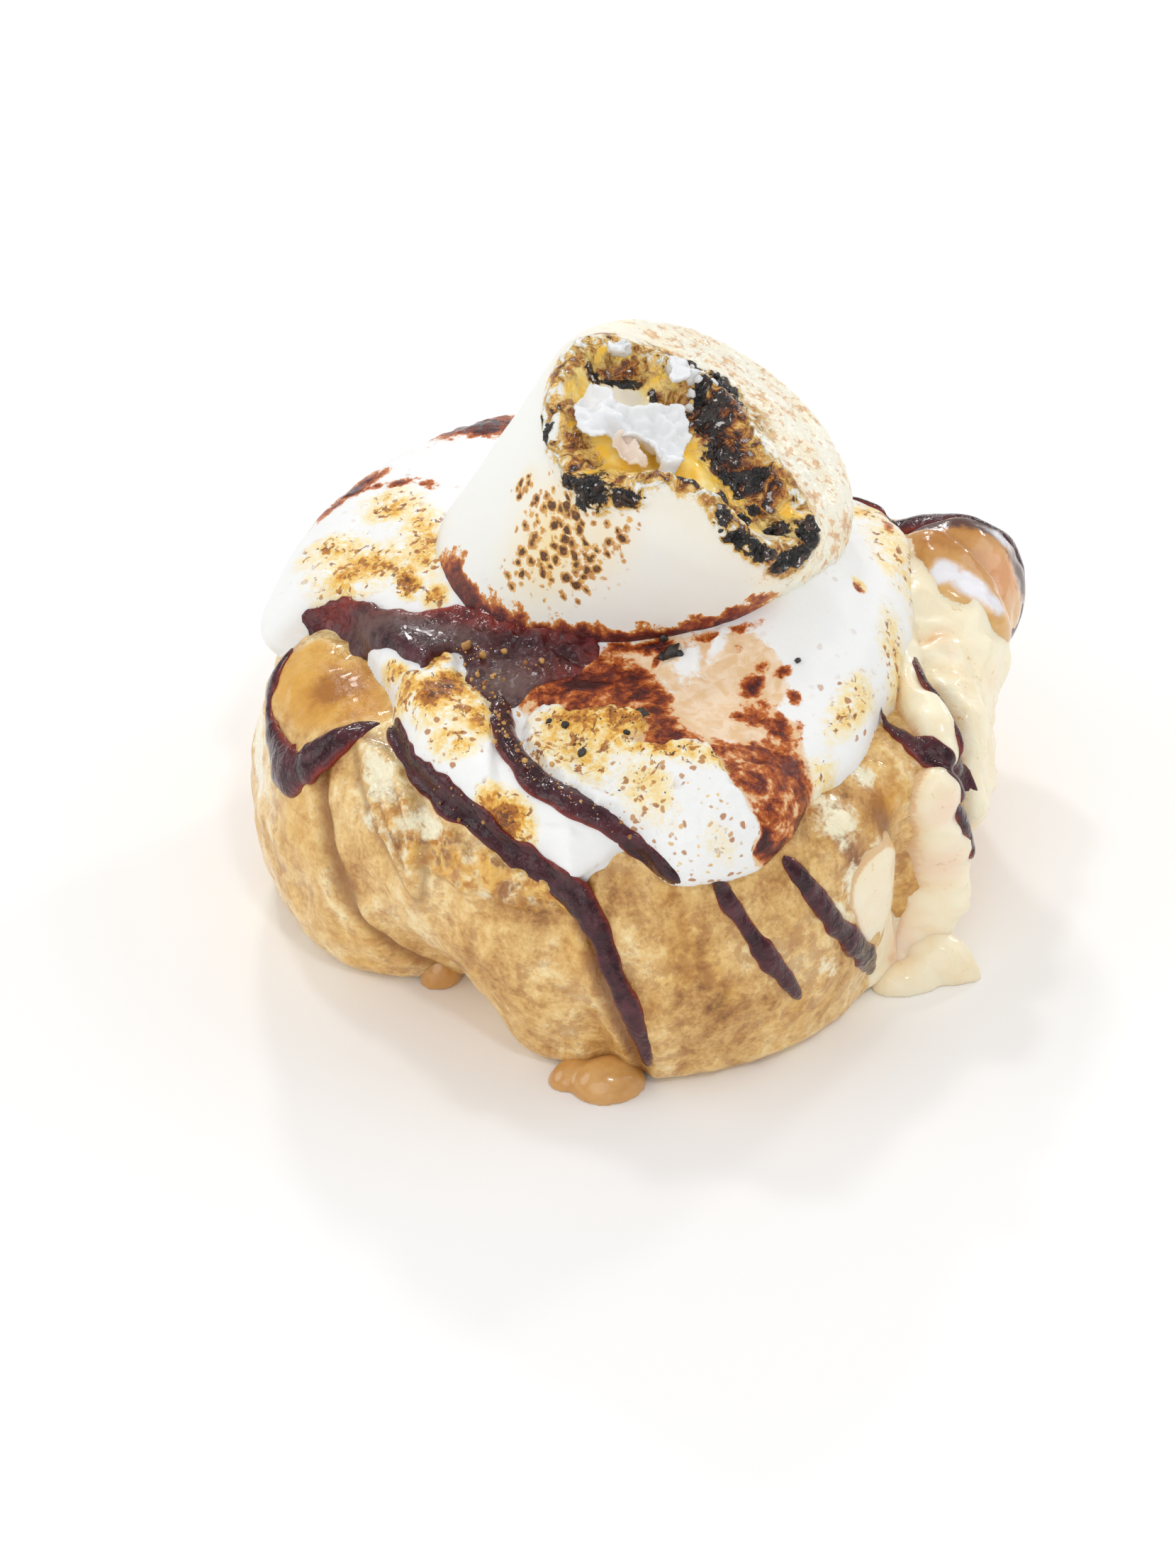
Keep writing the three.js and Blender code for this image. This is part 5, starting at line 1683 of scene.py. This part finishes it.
ICINGS = (
    Icing("icing_lobe_run", "icing_lobe", (
        Stream(((12, 30), (5, 33), (-1, 38), (-6, 44), (-11, 50)), 6.4, 3.0),
        Stream(((-6, 33), (-14, 37), (-19, 42), (-22, 47)), 3.6, 2.6),
        Stream(((4, 28), (-10, 28.6), (-20, 30.4), (-27.5, 33.8), (-31.5, 37)), 2.1, 2.6)),
        blush=dabs((-4, 50, 6, 4, 0, 0.3), (-8, 33.4, 2, 1, 0, 0.3)),
        amber=dabs((-5, 31.4, 2.4, 1.2, 20, 0.8), (16, 33, 6, 4, 0, 0.6))),
    Icing("icing_side_run", "icing_run", (
        Stream(((-37, 41), (-35, 46), (-33, 52), (-32, 57)), 3.0, 2.6),
        Stream(((-32, 57), (-33, 62), (-36, 66)), 4.4, 2.2)),
        blush=dabs((-37.5, 41.6, 3, 2, 0, 0.7), (-35.6, 50, 3, 3, 0, 0.6), (-40, 61, 4, 5, 0, 0.6))),
    Icing("icing_crease_pool", "icing_pool", (
        Stream(((-51.5, 46.6), (-49.4, 51), (-45.6, 56), (-42, 62)), 4.2, 0.5),),
        blush=dabs((-52, 49, 9, 5, 0, 0.2), (-41, 60, 3, 4, 0, 0.5))),
)


def topped(angle: Array, run: Array) -> Array:
    """The height over the bun of whatever lies on it."""
    turn = np.radians(angle)
    x, y = run * np.cos(turn), run * np.sin(turn)
    heights = [np.zeros_like(run), MELT.base(x, y)]
    return np.maximum.reduce(heights + [i.thickness(angle, run) for i in ICINGS])


@dataclass(frozen=True)
class Trail:
    """A trail of sauce along a route of [x, y, half width] on the unrolled top."""

    name: str
    nodes: tuple[str, ...]
    route: tuple[tuple[float, float, float], ...]
    tall: float = 0.4
    spacing: float = 0.28
    around: int = 22
    beads: float = 0.3
    slim: float = 0.66
    ease: float = 0.7

    @cached_property
    def line(self) -> Array:
        """The route's points, evenly spread."""
        fine = smooth_curve(self.route, 24, False)
        along = np.concatenate([[0], np.cumsum(np.linalg.norm(np.diff(fine[:, :2], axis=0), axis=1))])
        even = np.linspace(0, along[-1], max(8, round(along[-1] / self.spacing)))
        return np.stack([np.interp(even, along, fine[:, k]) for k in range(3)], axis=-1)

    def build(self, material: Material) -> None:
        """Makes the trail.

        Args:
            material: its finish.
        """
        line = self.line
        grain = Grain(71 + len(self.name))
        shape = bmesh.new()
        bmesh.ops.create_grid(shape, x_segments=len(line) - 1, y_segments=self.around, size=1)
        piece = Piece(self.name, shape)
        flat = piece.points
        k = np.rint((flat[:, 0] + 1) / 2 * (len(line) - 1)).astype(int)
        phi = (flat[:, 1] + 1) * math.pi
        angle, run = np.degrees(np.arctan2(line[:, 1], line[:, 0])), np.hypot(line[:, 0], line[:, 1])
        angle = np.degrees(np.unwrap(np.radians(angle)))
        centre = BUN.place(angle, run)
        rho = np.hypot(centre[:, 0], centre[:, 1])
        go = np.stack([np.gradient(run), np.radians(np.gradient(angle)) * rho], axis=-1)
        go /= np.linalg.norm(go, axis=1, keepdims=True)
        along = np.concatenate([[0], np.cumsum(np.linalg.norm(np.diff(centre, axis=0), axis=1))])
        beads = 1 + self.beads * grain.smooth(centre, 4.2) + 0.12 * grain.smooth(centre, 1.6)
        wide = self.slim * line[:, 2] * beads
        from_end = np.minimum(along, along[-1] - along)
        near_end = np.clip(from_end / (2.4 * line[:, 2]), 0, 1)
        wide = wide * np.clip(1 - (1 - near_end) ** 2, 0, 1) ** 0.7
        left, right = (1 + 0.26 * grain.rough(centre + shift, 3.4, 2) for shift in (15, 33))
        side = wide[k] * np.cos(phi) * np.where(np.cos(phi) > 0, left[k], right[k])
        run_here = run[k] - go[k, 1] * side
        angle_here = angle[k] + np.degrees(go[k, 0] * side / rho[k])
        tall = self.tall * (1 + 0.45 * grain.smooth(centre + 50, 3)) * wide + 0.25 * np.minimum(wide, 1)
        height = np.where(np.sin(phi) > 0, tall[k], 0.5 * wide[k]) * np.sin(phi)
        # It lies over whatever is under it and a little before and behind, so that steps are eased.
        beds = [topped(angle_here + np.degrees(go[k, 1] * ahead / rho[k]), run_here + go[k, 0] * ahead)
                for ahead in (-self.ease, 0.0, self.ease)]
        piece.move(BUN.place(angle_here, run_here, height + sum(beds) / len(beds)))
        piece.mark(thin=0.55 * step(np.abs(np.cos(phi)), 0.75, 1.0))
        piece.finish(material, Slot.CHOCOLATE, *self.nodes)


TRAILS = (
    Trail("chocolate_left_trail", ("chocolate_left",), (
        (-37, -1.6, 1.2), (-39.1, -5.3, 1.3), (-40.1, -8.5, 1.4), (-39.8, -12.4, 1.8), (-38.2, -18, 3.0),
        (-34.8, -19.5, 2.8), (-31.8, -19.2, 2.2), (-29.2, -18.2, 2), (-26.6, -17.8, 1.6))),
    Trail("chocolate_front_left_trail", ("chocolate_front_left",), (
        (-26, -18.2, 1.2), (-24.6, -21.8, 1.4), (-22.8, -25.8, 1.8), (-20.4, -28.8, 2.0), (-16.2, -32.9, 2.1),
        (-12.6, -36.4, 2.1), (-8.4, -39.4, 2.2), (-5.4, -42.6, 1.9), (-3, -49, 1.4), (-0.8, -54.7, 1.5),
        (1, -61.3, 1.3))),
    Trail("chocolate_centre_trail", ("chocolate_centre",), (
        (-14.3, -18.5, 2.4), (-14.1, -21.8, 2.3), (-12.8, -27.1, 2.0), (-10.6, -30.8, 1.8), (-7, -33.4, 1.7),
        (-3.2, -35.4, 1.4), (0.4, -37.6, 1.2), (3.6, -39.6, 1.0))),
    Trail("chocolate_front_right_trail", ("chocolate_front_right",), (
        (6.4, -38.6, 1.2), (8.6, -40.6, 1.4), (11.6, -43.6, 1.5), (16.6, -47.8, 1.7), (22, -51.2, 1.5))),
    Trail("chocolate_right_trail", ("chocolate_right",), (
        (14, -36.2, 1.6), (17, -38.2, 1.8), (21.6, -41, 1.8), (27, -43.2, 2.1), (33, -44.6, 1.9),
        (37.6, -45.3, 1.6), (40.2, -45.8, 1.3))),
    Trail("chocolate_cleft_trail", ("chocolate_cleft",), (
        (24.6, -16.4, 1.3), (28, -19.6, 1.6), (30.8, -21.3, 1.7), (35, -22.2, 1.8), (39, -20.4, 1.6))),
    Trail("chocolate_rim_trail", ("chocolate_rim",), (
        (29, -6.6, 1.1), (29.3, -9.2, 1.3), (31.2, -14.6, 1.6), (33.4, -18.4, 2.4), (38.4, -19.4, 2.5),
        (42, -19.6, 1.8))),
    Trail("chocolate_side_trail", ("chocolate_side",), (
        (34, -24.6, 1.2), (38.6, -24.4, 1.9), (43.6, -24, 2.3), (48, -24, 1.8))),
)


@dataclass(frozen=True)
class Pool:
    """The pool of sauce that the trails run from."""

    outline: Region = Region((
        (-36, -1.5), (-32.5, 1.5), (-25, -4), (-19, -4.6), (-14, -6), (-8, -8.6), (-4.4, -12.4),
        (-5.4, -15.8), (-10, -18.2), (-13, -20.5), (-16.8, -18.2), (-17.8, -14.2), (-19, -10.8), (-20.6, -12),
        (-21.9, -14.2), (-23.6, -12.6), (-26.2, -8.9), (-29, -7)))
    thick: float = 0.95
    skirt: float = 0.9
    spacing: float = 0.24
    ripples: Marks = dabs((-10, -12.6, 6, 2.8, -20), (-15, -10.6, 4, 2.4, -20))
    hollows: Marks = dabs((-5.4, -15.6, 5, 4.4, -10), (-13, -18.4, 4, 3))
    thins: Marks = dabs(
        (-28, -1.2, 6, 1.2, -20, 0.7), (-21, -4.6, 5, 1.2, -8, 0.9), (-14, -8, 5, 1.6, -20, 0.6),
        (-3.8, -15, 2.6, 4, 0, 0.3), (-6.4, -17.2, 4, 2, -10, 0.3), (-10, -10.4, 5, 1.2, -26, 0.4))
    dulls: Marks = dabs(
        (-13.4, -17.6, 4.6, 3, -20, 0.95), (-27, -5.4, 6, 2, -20, 0.9), (-17.6, -10, 2.6, 2, 0, 0.7),
        (-20, -8.6, 4, 1.4, -20, 0.8))

    def height(self, x: Array, y: Array) -> Array:
        """How high the sauce stands over the bun."""
        grain = Grain(83)
        at = BUN.lay(x, y)
        depth = self.outline.depth(x, y) + 0.5 * grain.rough(at, 2.6, 2)
        q = np.clip(depth / 1.3, 0, 1)
        glossy = highest(self.ripples, x, y)
        swirl = 0.16 * grain.rough(at, 3.2, 2) + glossy * (0.5 + 1.1 * grain.rough(at + 3, 3, 3, 0.6))
        thick = self.thick - 0.75 * highest(self.hollows, x, y)
        return MELT.base(x, y) + (thick + swirl) * dome(q) - 0.5 * step(depth, 0.4, -0.4)

    def build(self, material: Material) -> None:
        """Makes the pool.

        Args:
            material: its finish.
        """
        piece = patch("chocolate_pool_glossy", self.outline, 1, self.spacing,
                      lambda x, y: self.outline.depth(x, y) > -self.skirt)
        x, y = piece.flat
        piece.pour(self.height(x, y), MELT.base(x, y))
        piece.mark(thin=highest(self.thins, x, y), dull=highest(self.dulls, x, y))
        piece.finish(material, Slot.CHOCOLATE, "chocolate_pool")


POOL = Pool()


@dataclass(frozen=True)
class GlazeDrip:
    """Glaze set on the floor against the foot: domes of [x, y, half sizes, turn]."""

    name: str
    nodes: tuple[str, ...]
    domes: tuple[tuple[float, float, float, float, float, float], ...]
    slot: Slot
    amber: float
    voxel: float = 0.3

    def build(self, material: Material) -> None:
        """Makes the drip.

        Args:
            material: its finish.
        """
        shape = bmesh.new()
        for x, y, long, wide, tall, turn in self.domes:
            place = Matrix.Translation((x, y, 0)) @ Matrix.Rotation(math.radians(turn), 4, "Z")
            place = place @ Matrix.Diagonal((long, wide, tall, 1))
            bmesh.ops.create_icosphere(shape, subdivisions=4, radius=1, matrix=place)
        bmesh.ops.bisect_plane(shape, geom=[*shape.verts, *shape.edges, *shape.faces], plane_co=(0, 0, 0),
                               plane_no=(0, 0, -1), clear_outer=True)
        bmesh.ops.holes_fill(shape, edges=[e for e in shape.edges if e.is_boundary])
        mesh = bpy.data.meshes.new(self.name + "_rough")
        shape.to_mesh(mesh)
        shape.free()
        rough = bpy.data.objects.new(mesh.name, mesh)
        bpy.context.scene.collection.objects.link(rough)
        remesh = rough.modifiers.new("skin", "REMESH")
        remesh.mode, remesh.voxel_size = "VOXEL", self.voxel
        ease = rough.modifiers.new("ease", "SMOOTH")
        ease.factor, ease.iterations = 0.5, 6
        blended = bmesh.new()
        blended.from_object(rough, bpy.context.evaluated_depsgraph_get())
        bpy.data.objects.remove(rough)
        piece = Piece(self.name, blended)
        at = piece.points
        at[:, 2] = np.maximum(at[:, 2] + 0.1 * Grain(5).rough(at, 2.5, 2) * step(at[:, 2], 0.2, 1), 0)
        piece.move(at)
        middle = np.array(self.domes[0][:2])
        near = bell(np.linalg.norm(at[:, :2] - middle, axis=1), 3.2)
        piece.mark(amber=self.amber * (1 - 0.7 * near))
        piece.finish(material, self.slot, *self.nodes)


DRIPS = (
    GlazeDrip("glaze_drip_front_set", ("glaze_drip_front",), (
        (-3.4, -40.7, 4, 3.1, 3.4, 14), (-6.6, -39.5, 3.2, 2.2, 2.4, 24)), Slot.GLAZE, 0.6),
    GlazeDrip("glaze_drip_left_set", ("glaze_drip_left",), (
        (-21.2, -23.7, 2.4, 1.9, 3.6, 24),), Slot.GLAZE, 1.0),
    GlazeDrip("icing_foot_drip", (), (
        (31.4, -21.4, 5.2, 3.2, 4.6, -24), (29, -24, 4.6, 2.6, 2.8, 20),
        (34.4, -22.8, 2.4, 1.6, 2.2, -24)), Slot.ICING, 0.1),
)


@dataclass(frozen=True)
class Horn:
    """Caramel over the coil's raised corner at the back right, edged with chocolate."""

    outline: Region = Region((
        (28.6, 13), (32, 14.6), (36, 14.6), (40, 13.6), (42.6, 10), (42, 5), (38.6, 1.6), (35, 1.4),
        (31.6, 2.6), (30.2, 6.6)))
    thick: float = 0.8
    skirt: float = 0.8
    spacing: float = 0.3
    ambers: Marks = dabs(
        (31.6, 9, 3.6, 3.4, 0, 1.0), (34.6, 7.8, 3, 3, 0, 0.9), (33, 12, 4, 2, 0, 1.0))
    blushes: Marks = dabs((37, 8.4, 2, 3, 0, 0.8))
    # Where painted highlights lie on the caramel.
    milks: Marks = dabs(
        (32, 4.8, 1.6, 1.6, 0, 0.9), (34.2, 3.8, 2.2, 1.4, -20), (36.4, 3.2, 1.6, 1.2, 0, 0.8),
        (35.6, 12.2, 2, 0.9, -20, 0.7))
    darks: Marks = dabs(
        (30, 13.4, 3.4, 1.4, -20), (34, 12.8, 3.6, 1.3, -10), (38, 11.6, 2.6, 1.8, -40))
    edge: Trail = Trail("chocolate_corner_trail", (), (
        (22.6, 18.6, 1.0), (26.6, 17.6, 1.5), (30.2, 15.4, 2.1), (34.4, 14, 2.4), (38.6, 13, 2.4),
        (41.4, 9.6, 2.2), (41.4, 5.4, 1.8), (40, 1.6, 1.4)))

    def build(self, caramel: Material, chocolate: Material) -> None:
        """Makes the caramel and its chocolate edge.

        Args:
            caramel: the glaze's finish.
            chocolate: the chocolate's finish.
        """
        grain = Grain(91)
        piece = patch("caramel_corner", self.outline, 1, self.spacing,
                      lambda x, y: self.outline.depth(x, y) > -self.skirt)
        x, y = piece.flat
        at = BUN.lay(x, y)
        icing = ICINGS[0].thickness(np.degrees(np.arctan2(y, x)), np.hypot(x, y))
        under = np.maximum.reduce([icing, MELT.base(x, y), np.zeros_like(x)])
        q = np.clip(self.outline.depth(x, y) / 1.8, 0, 1)
        top = under + (self.thick + 0.3 * grain.rough(at, 3, 2)) * dome(q) - 0.4 * step(q, 0.1, 0)
        piece.pour(top, under)
        piece.mark(amber=highest(self.ambers, x, y), blush=highest(self.blushes, x, y),
                   milk=highest(self.milks, x, y), dark=highest(self.darks, x, y))
        piece.finish(caramel, Slot.GLAZE)
        self.edge.build(chocolate)


# ---- loose crumbs


@dataclass(frozen=True)
class Crumbs:
    """Loose crumbs of one kind, scattered round marks on a chart."""

    name: str
    seed: int
    number: int
    smallest: float
    largest: float
    spread: Marks
    named: tuple[tuple[float, float, float], ...] = ()

    def build(self, material: Material, slot: Slot, put: Callable[[Array, Array], Array]) -> None:
        """Makes the crumbs.

        Args:
            material: their finish.
            slot: the record's slot that it comes from.
            put: gives the points on the surface that the crumbs lie on.
        """
        rng = np.random.default_rng(self.seed)
        weights = np.array([d.level * d.long * d.wide for d in self.spread])
        chosen = rng.choice(len(self.spread), self.number, p=weights / weights.sum())
        shape = bmesh.new()
        places = []
        for index in chosen:
            d = self.spread[index]
            u, v = rng.normal(size=2) * 0.6
            c, s = math.cos(math.radians(d.turn)), math.sin(math.radians(d.turn))
            size = self.smallest + (self.largest - self.smallest) * rng.random() ** 2.2
            x, y = d.x + u * d.long * c - v * d.wide * s, d.y + u * d.long * s + v * d.wide * c
            places.append((x, y, size))
        places += self.named
        spots = put(np.array([p[0] for p in places]), np.array([p[1] for p in places]))
        for spot, (*_, size) in zip(spots, places):
            turn = Matrix.Rotation(rng.random() * math.tau, 4, Vector(rng.normal(size=3)))
            squash = Matrix.Diagonal((*(size * (0.55 + 0.6 * rng.random(3))), 1))
            made = bmesh.ops.create_icosphere(shape, subdivisions=1 if size < 0.5 else 2, radius=0.5,
                                              matrix=Matrix.Translation(spot) @ turn @ squash)
            for vert in made["verts"]:
                vert.co = Vector(spot) + (vert.co - Vector(spot)) * (0.72 + 0.5 * rng.random())
        Piece(self.name, shape).finish(material, slot)


# ---- the studio


@dataclass(frozen=True)
class Lamp:
    """A round soft lamp that faces the bun: its place and width in metres, and its power in watts."""

    name: str
    at: tuple[float, float, float]
    size: float
    power: float
    colour: Colour = (1.0, 1.0, 1.0)

    def build(self) -> None:
        """Hangs the lamp."""
        data = bpy.data.lights.new(self.name, "AREA")
        data.shape = "DISK"
        data.size, data.energy, data.color = self.size, self.power, self.colour
        lamp = bpy.data.objects.new(self.name, data)
        lamp.location = self.at
        lamp.rotation_euler = (-Vector(self.at)).to_track_quat("-Z", "Y").to_euler()
        bpy.context.scene.collection.objects.link(lamp)


@dataclass(frozen=True)
class Studio:
    """A pale floor, soft light and the camera."""

    lamps: tuple[Lamp, ...] = (
        Lamp("ceiling", (-0.1, 0.3, 0.9), 1.0, 0.6),
        Lamp("left", (-0.8, -0.1, 0.5), 0.7, 1.9, (1.0, 0.995, 0.985)),
        Lamp("right", (0.75, 0.1, 0.6), 0.7, 1.6, (0.98, 0.99, 1.0)),
        Lamp("front", (-0.2, -0.9, 0.45), 0.8, 2.0, (1.0, 1.0, 0.995)),
        Lamp("spark_above", (-0.25, 0.4, 0.88), 0.1, 1.0),
        Lamp("spark_before", (0.2, -0.5, 0.85), 0.1, 1.0),
        Lamp("spark_behind", (0.6, 0.7, 0.45), 0.1, 1.2),
        Lamp("spark_far", (-0.1, 0.82, 0.57), 0.1, 1.6),
    )
    room: float = 0.48
    target: tuple[float, float, float] = (-5.5, 0.0, 8.3)
    distance: float = 380
    tilt: float = 37
    lens: float = 78.5

    def build(self) -> None:
        """Sets up the studio."""
        scene = bpy.context.scene
        scene.view_settings.view_transform = "Standard"
        self._floor()
        self._sky(scene)
        for lamp in self.lamps:
            lamp.build()
        self._camera(scene)

    @staticmethod
    def _floor() -> None:
        """Lays the floor."""
        shape = bmesh.new()
        bmesh.ops.create_grid(shape, x_segments=8, y_segments=8, size=3)
        mesh = bpy.data.meshes.new("floor")
        shape.to_mesh(mesh)
        shape.free()
        g = Graph("floor")
        mesh.materials.append(g.surface(Base_Color=(0.97, 0.97, 0.97), Roughness=0.8, Specular_IOR_Level=0.1))
        floor = bpy.data.objects.new("floor", mesh)
        bpy.context.scene.collection.objects.link(floor)

    def _sky(self, scene: Scene) -> None:
        """Lights the whole room a little."""
        world = bpy.data.worlds.new("room")
        world.use_nodes = True
        back = world.node_tree.nodes["Background"]
        back.inputs["Color"].default_value = (1, 1, 1, 1)
        back.inputs["Strength"].default_value = self.room
        scene.world = world

    def _camera(self, scene: Scene) -> None:
        """Stands the camera in front of the bun."""
        data = bpy.data.cameras.new("camera")
        data.lens, data.sensor_width = self.lens, 36
        data.clip_start, data.clip_end = 0.01, 20
        tilt = math.radians(self.tilt)
        away = Vector((0, -math.cos(tilt), math.sin(tilt))) * self.distance
        camera = bpy.data.objects.new("camera", data)
        camera.location = (Vector(self.target) + Vector(SHIFT) + away) * MM
        camera.rotation_euler = (math.pi / 2 - tilt, 0, 0)
        scene.collection.objects.link(camera)
        scene.camera = camera


def on_melt(x: Array, y: Array) -> Array:
    """Points on the melt's surface."""
    return BUN.lay(x, y, MELT.surface(x, y)[0])


def on_sauce(x: Array, y: Array) -> Array:
    """Points on the pool and the trails that cross the melt."""
    return BUN.lay(x, y, np.maximum(MELT.base(x, y) + 1.45, 0))


def on_mallow(x: Array, y: Array) -> Array:
    """Points on the marshmallow's surface."""
    return MALLOW.place(x, y, MALLOW.surface(x, y)[0])


SKIN_BITS = Crumbs(
    "skin_bits", 6, 14, 0.5, 1.5, dabs((-4.6, 2.6, 2.2, 2.4, 0, 1), (-9.6, 2.8, 1.6, 0.8, 0, 0.6)),
    ((-5, 1.6, 1.8), (-3.6, 3.4, 1.7), (-4.2, -0.6, 1.5), (-2.6, 1.9, 1.4)))
MELT_CRUMBS = Crumbs(
    "char_crumbs_melt", 3, 14, 0.2, 0.5, dabs(
        (-2.2, -25.4, 3, 0.9, 0, 1), (-5.6, -27, 3, 1.4, 20, 0.6), (-9, -24.2, 1.6, 0.5, 0, 0.7),
        (4.6, -31, 4.2, 0.8, -16, 0.5), (1, -33, 4, 2.4, -40, 0.3), (-20.5, -18, 2.4, 2.6, 0, 0.3),
        (3, -14.6, 1.2, 1, 0, 0.5)),
    ((2.9, -14.9, 2.4), (3.7, -15.3, 1.6), (2.2, -13.2, 1.3), (-0.1, -24.1, 1.5), (15.4, -16.7, 1.0),
     (2.2, -15.3, 1.2), (-9.2, -24, 0.9), (-7.6, -24.9, 1.0), (-1.6, -28, 1.0), (-5.9, -28.6, 1.0)))
CRATER_CRUMBS = Crumbs(
    "char_crumbs_crater", 4, 90, 0.2, 0.8,
    tuple(Dab(c.x, c.y, 0.8 * c.long, 0.8 * c.wide, c.turn) for c in MALLOW.clumps))
GOLDEN_CRUMBS = Crumbs(
    "golden_crumbs", 5, 150, 0.2, 0.62, dabs(
        (-15.4, -18.4, 1.6, 2.4, 0, 1), (-16.8, -13.4, 1.6, 2.2, 0, 0.6), (-13.8, -24, 1.3, 3, 0, 0.9),
        (-11.4, -29.8, 3.4, 1.1, -60, 1.0), (-7, -33.2, 3, 1, -34, 0.7), (-2.6, -35.4, 3, 0.7, -28, 0.4),
        (-18.4, -31.2, 3, 1, -42, 0.35), (-10.6, -16.8, 3.4, 1.4, 0, 0.4)),
    ((-17.6, -11.6, 1.4), (-15.9, -13.8, 1.2), (-13.8, -13.2, 0.8)))


def scatter(skin: Material) -> None:
    """Lays the loose crumbs and bits of skin."""
    char = CrumbFinish("char_crumb", (0.012, 0.012, 0.013), (0.04, 0.03, 0.025), 0.35).dress()
    SKIN_BITS.build(skin, Slot.SKIN, on_mallow)
    golden = CrumbFinish("golden_crumb", (0.66, 0.38, 0.12), (0.34, 0.13, 0.03), 0.45).dress()
    MELT_CRUMBS.build(char, Slot.TOASTED, on_melt)
    CRATER_CRUMBS.build(char, Slot.TOASTED, on_mallow)
    GOLDEN_CRUMBS.build(golden, Slot.DOUGH, on_sauce)


def main() -> None:
    """Builds the bun and its studio in order."""
    Roll().build()
    MELT.build()
    MALLOW.build()
    skin = SkinFinish().dress()
    for flake in FLAKES:
        flake.build(skin)
    icing = IcingFinish().dress()
    for run in ICINGS:
        run.build(icing)
    chocolate = ChocolateFinish().dress()
    POOL.build(chocolate)
    for trail in TRAILS:
        trail.build(chocolate)
    glaze = GlazeFinish().dress()
    for drip in DRIPS:
        drip.build(icing if drip.slot == Slot.ICING else glaze)
    Horn().build(glaze, chocolate)
    scatter(skin)
    Studio().build()


if __name__ == "__main__":
    logging.basicConfig(level=logging.INFO, format="%(name)s %(message)s")
    main()
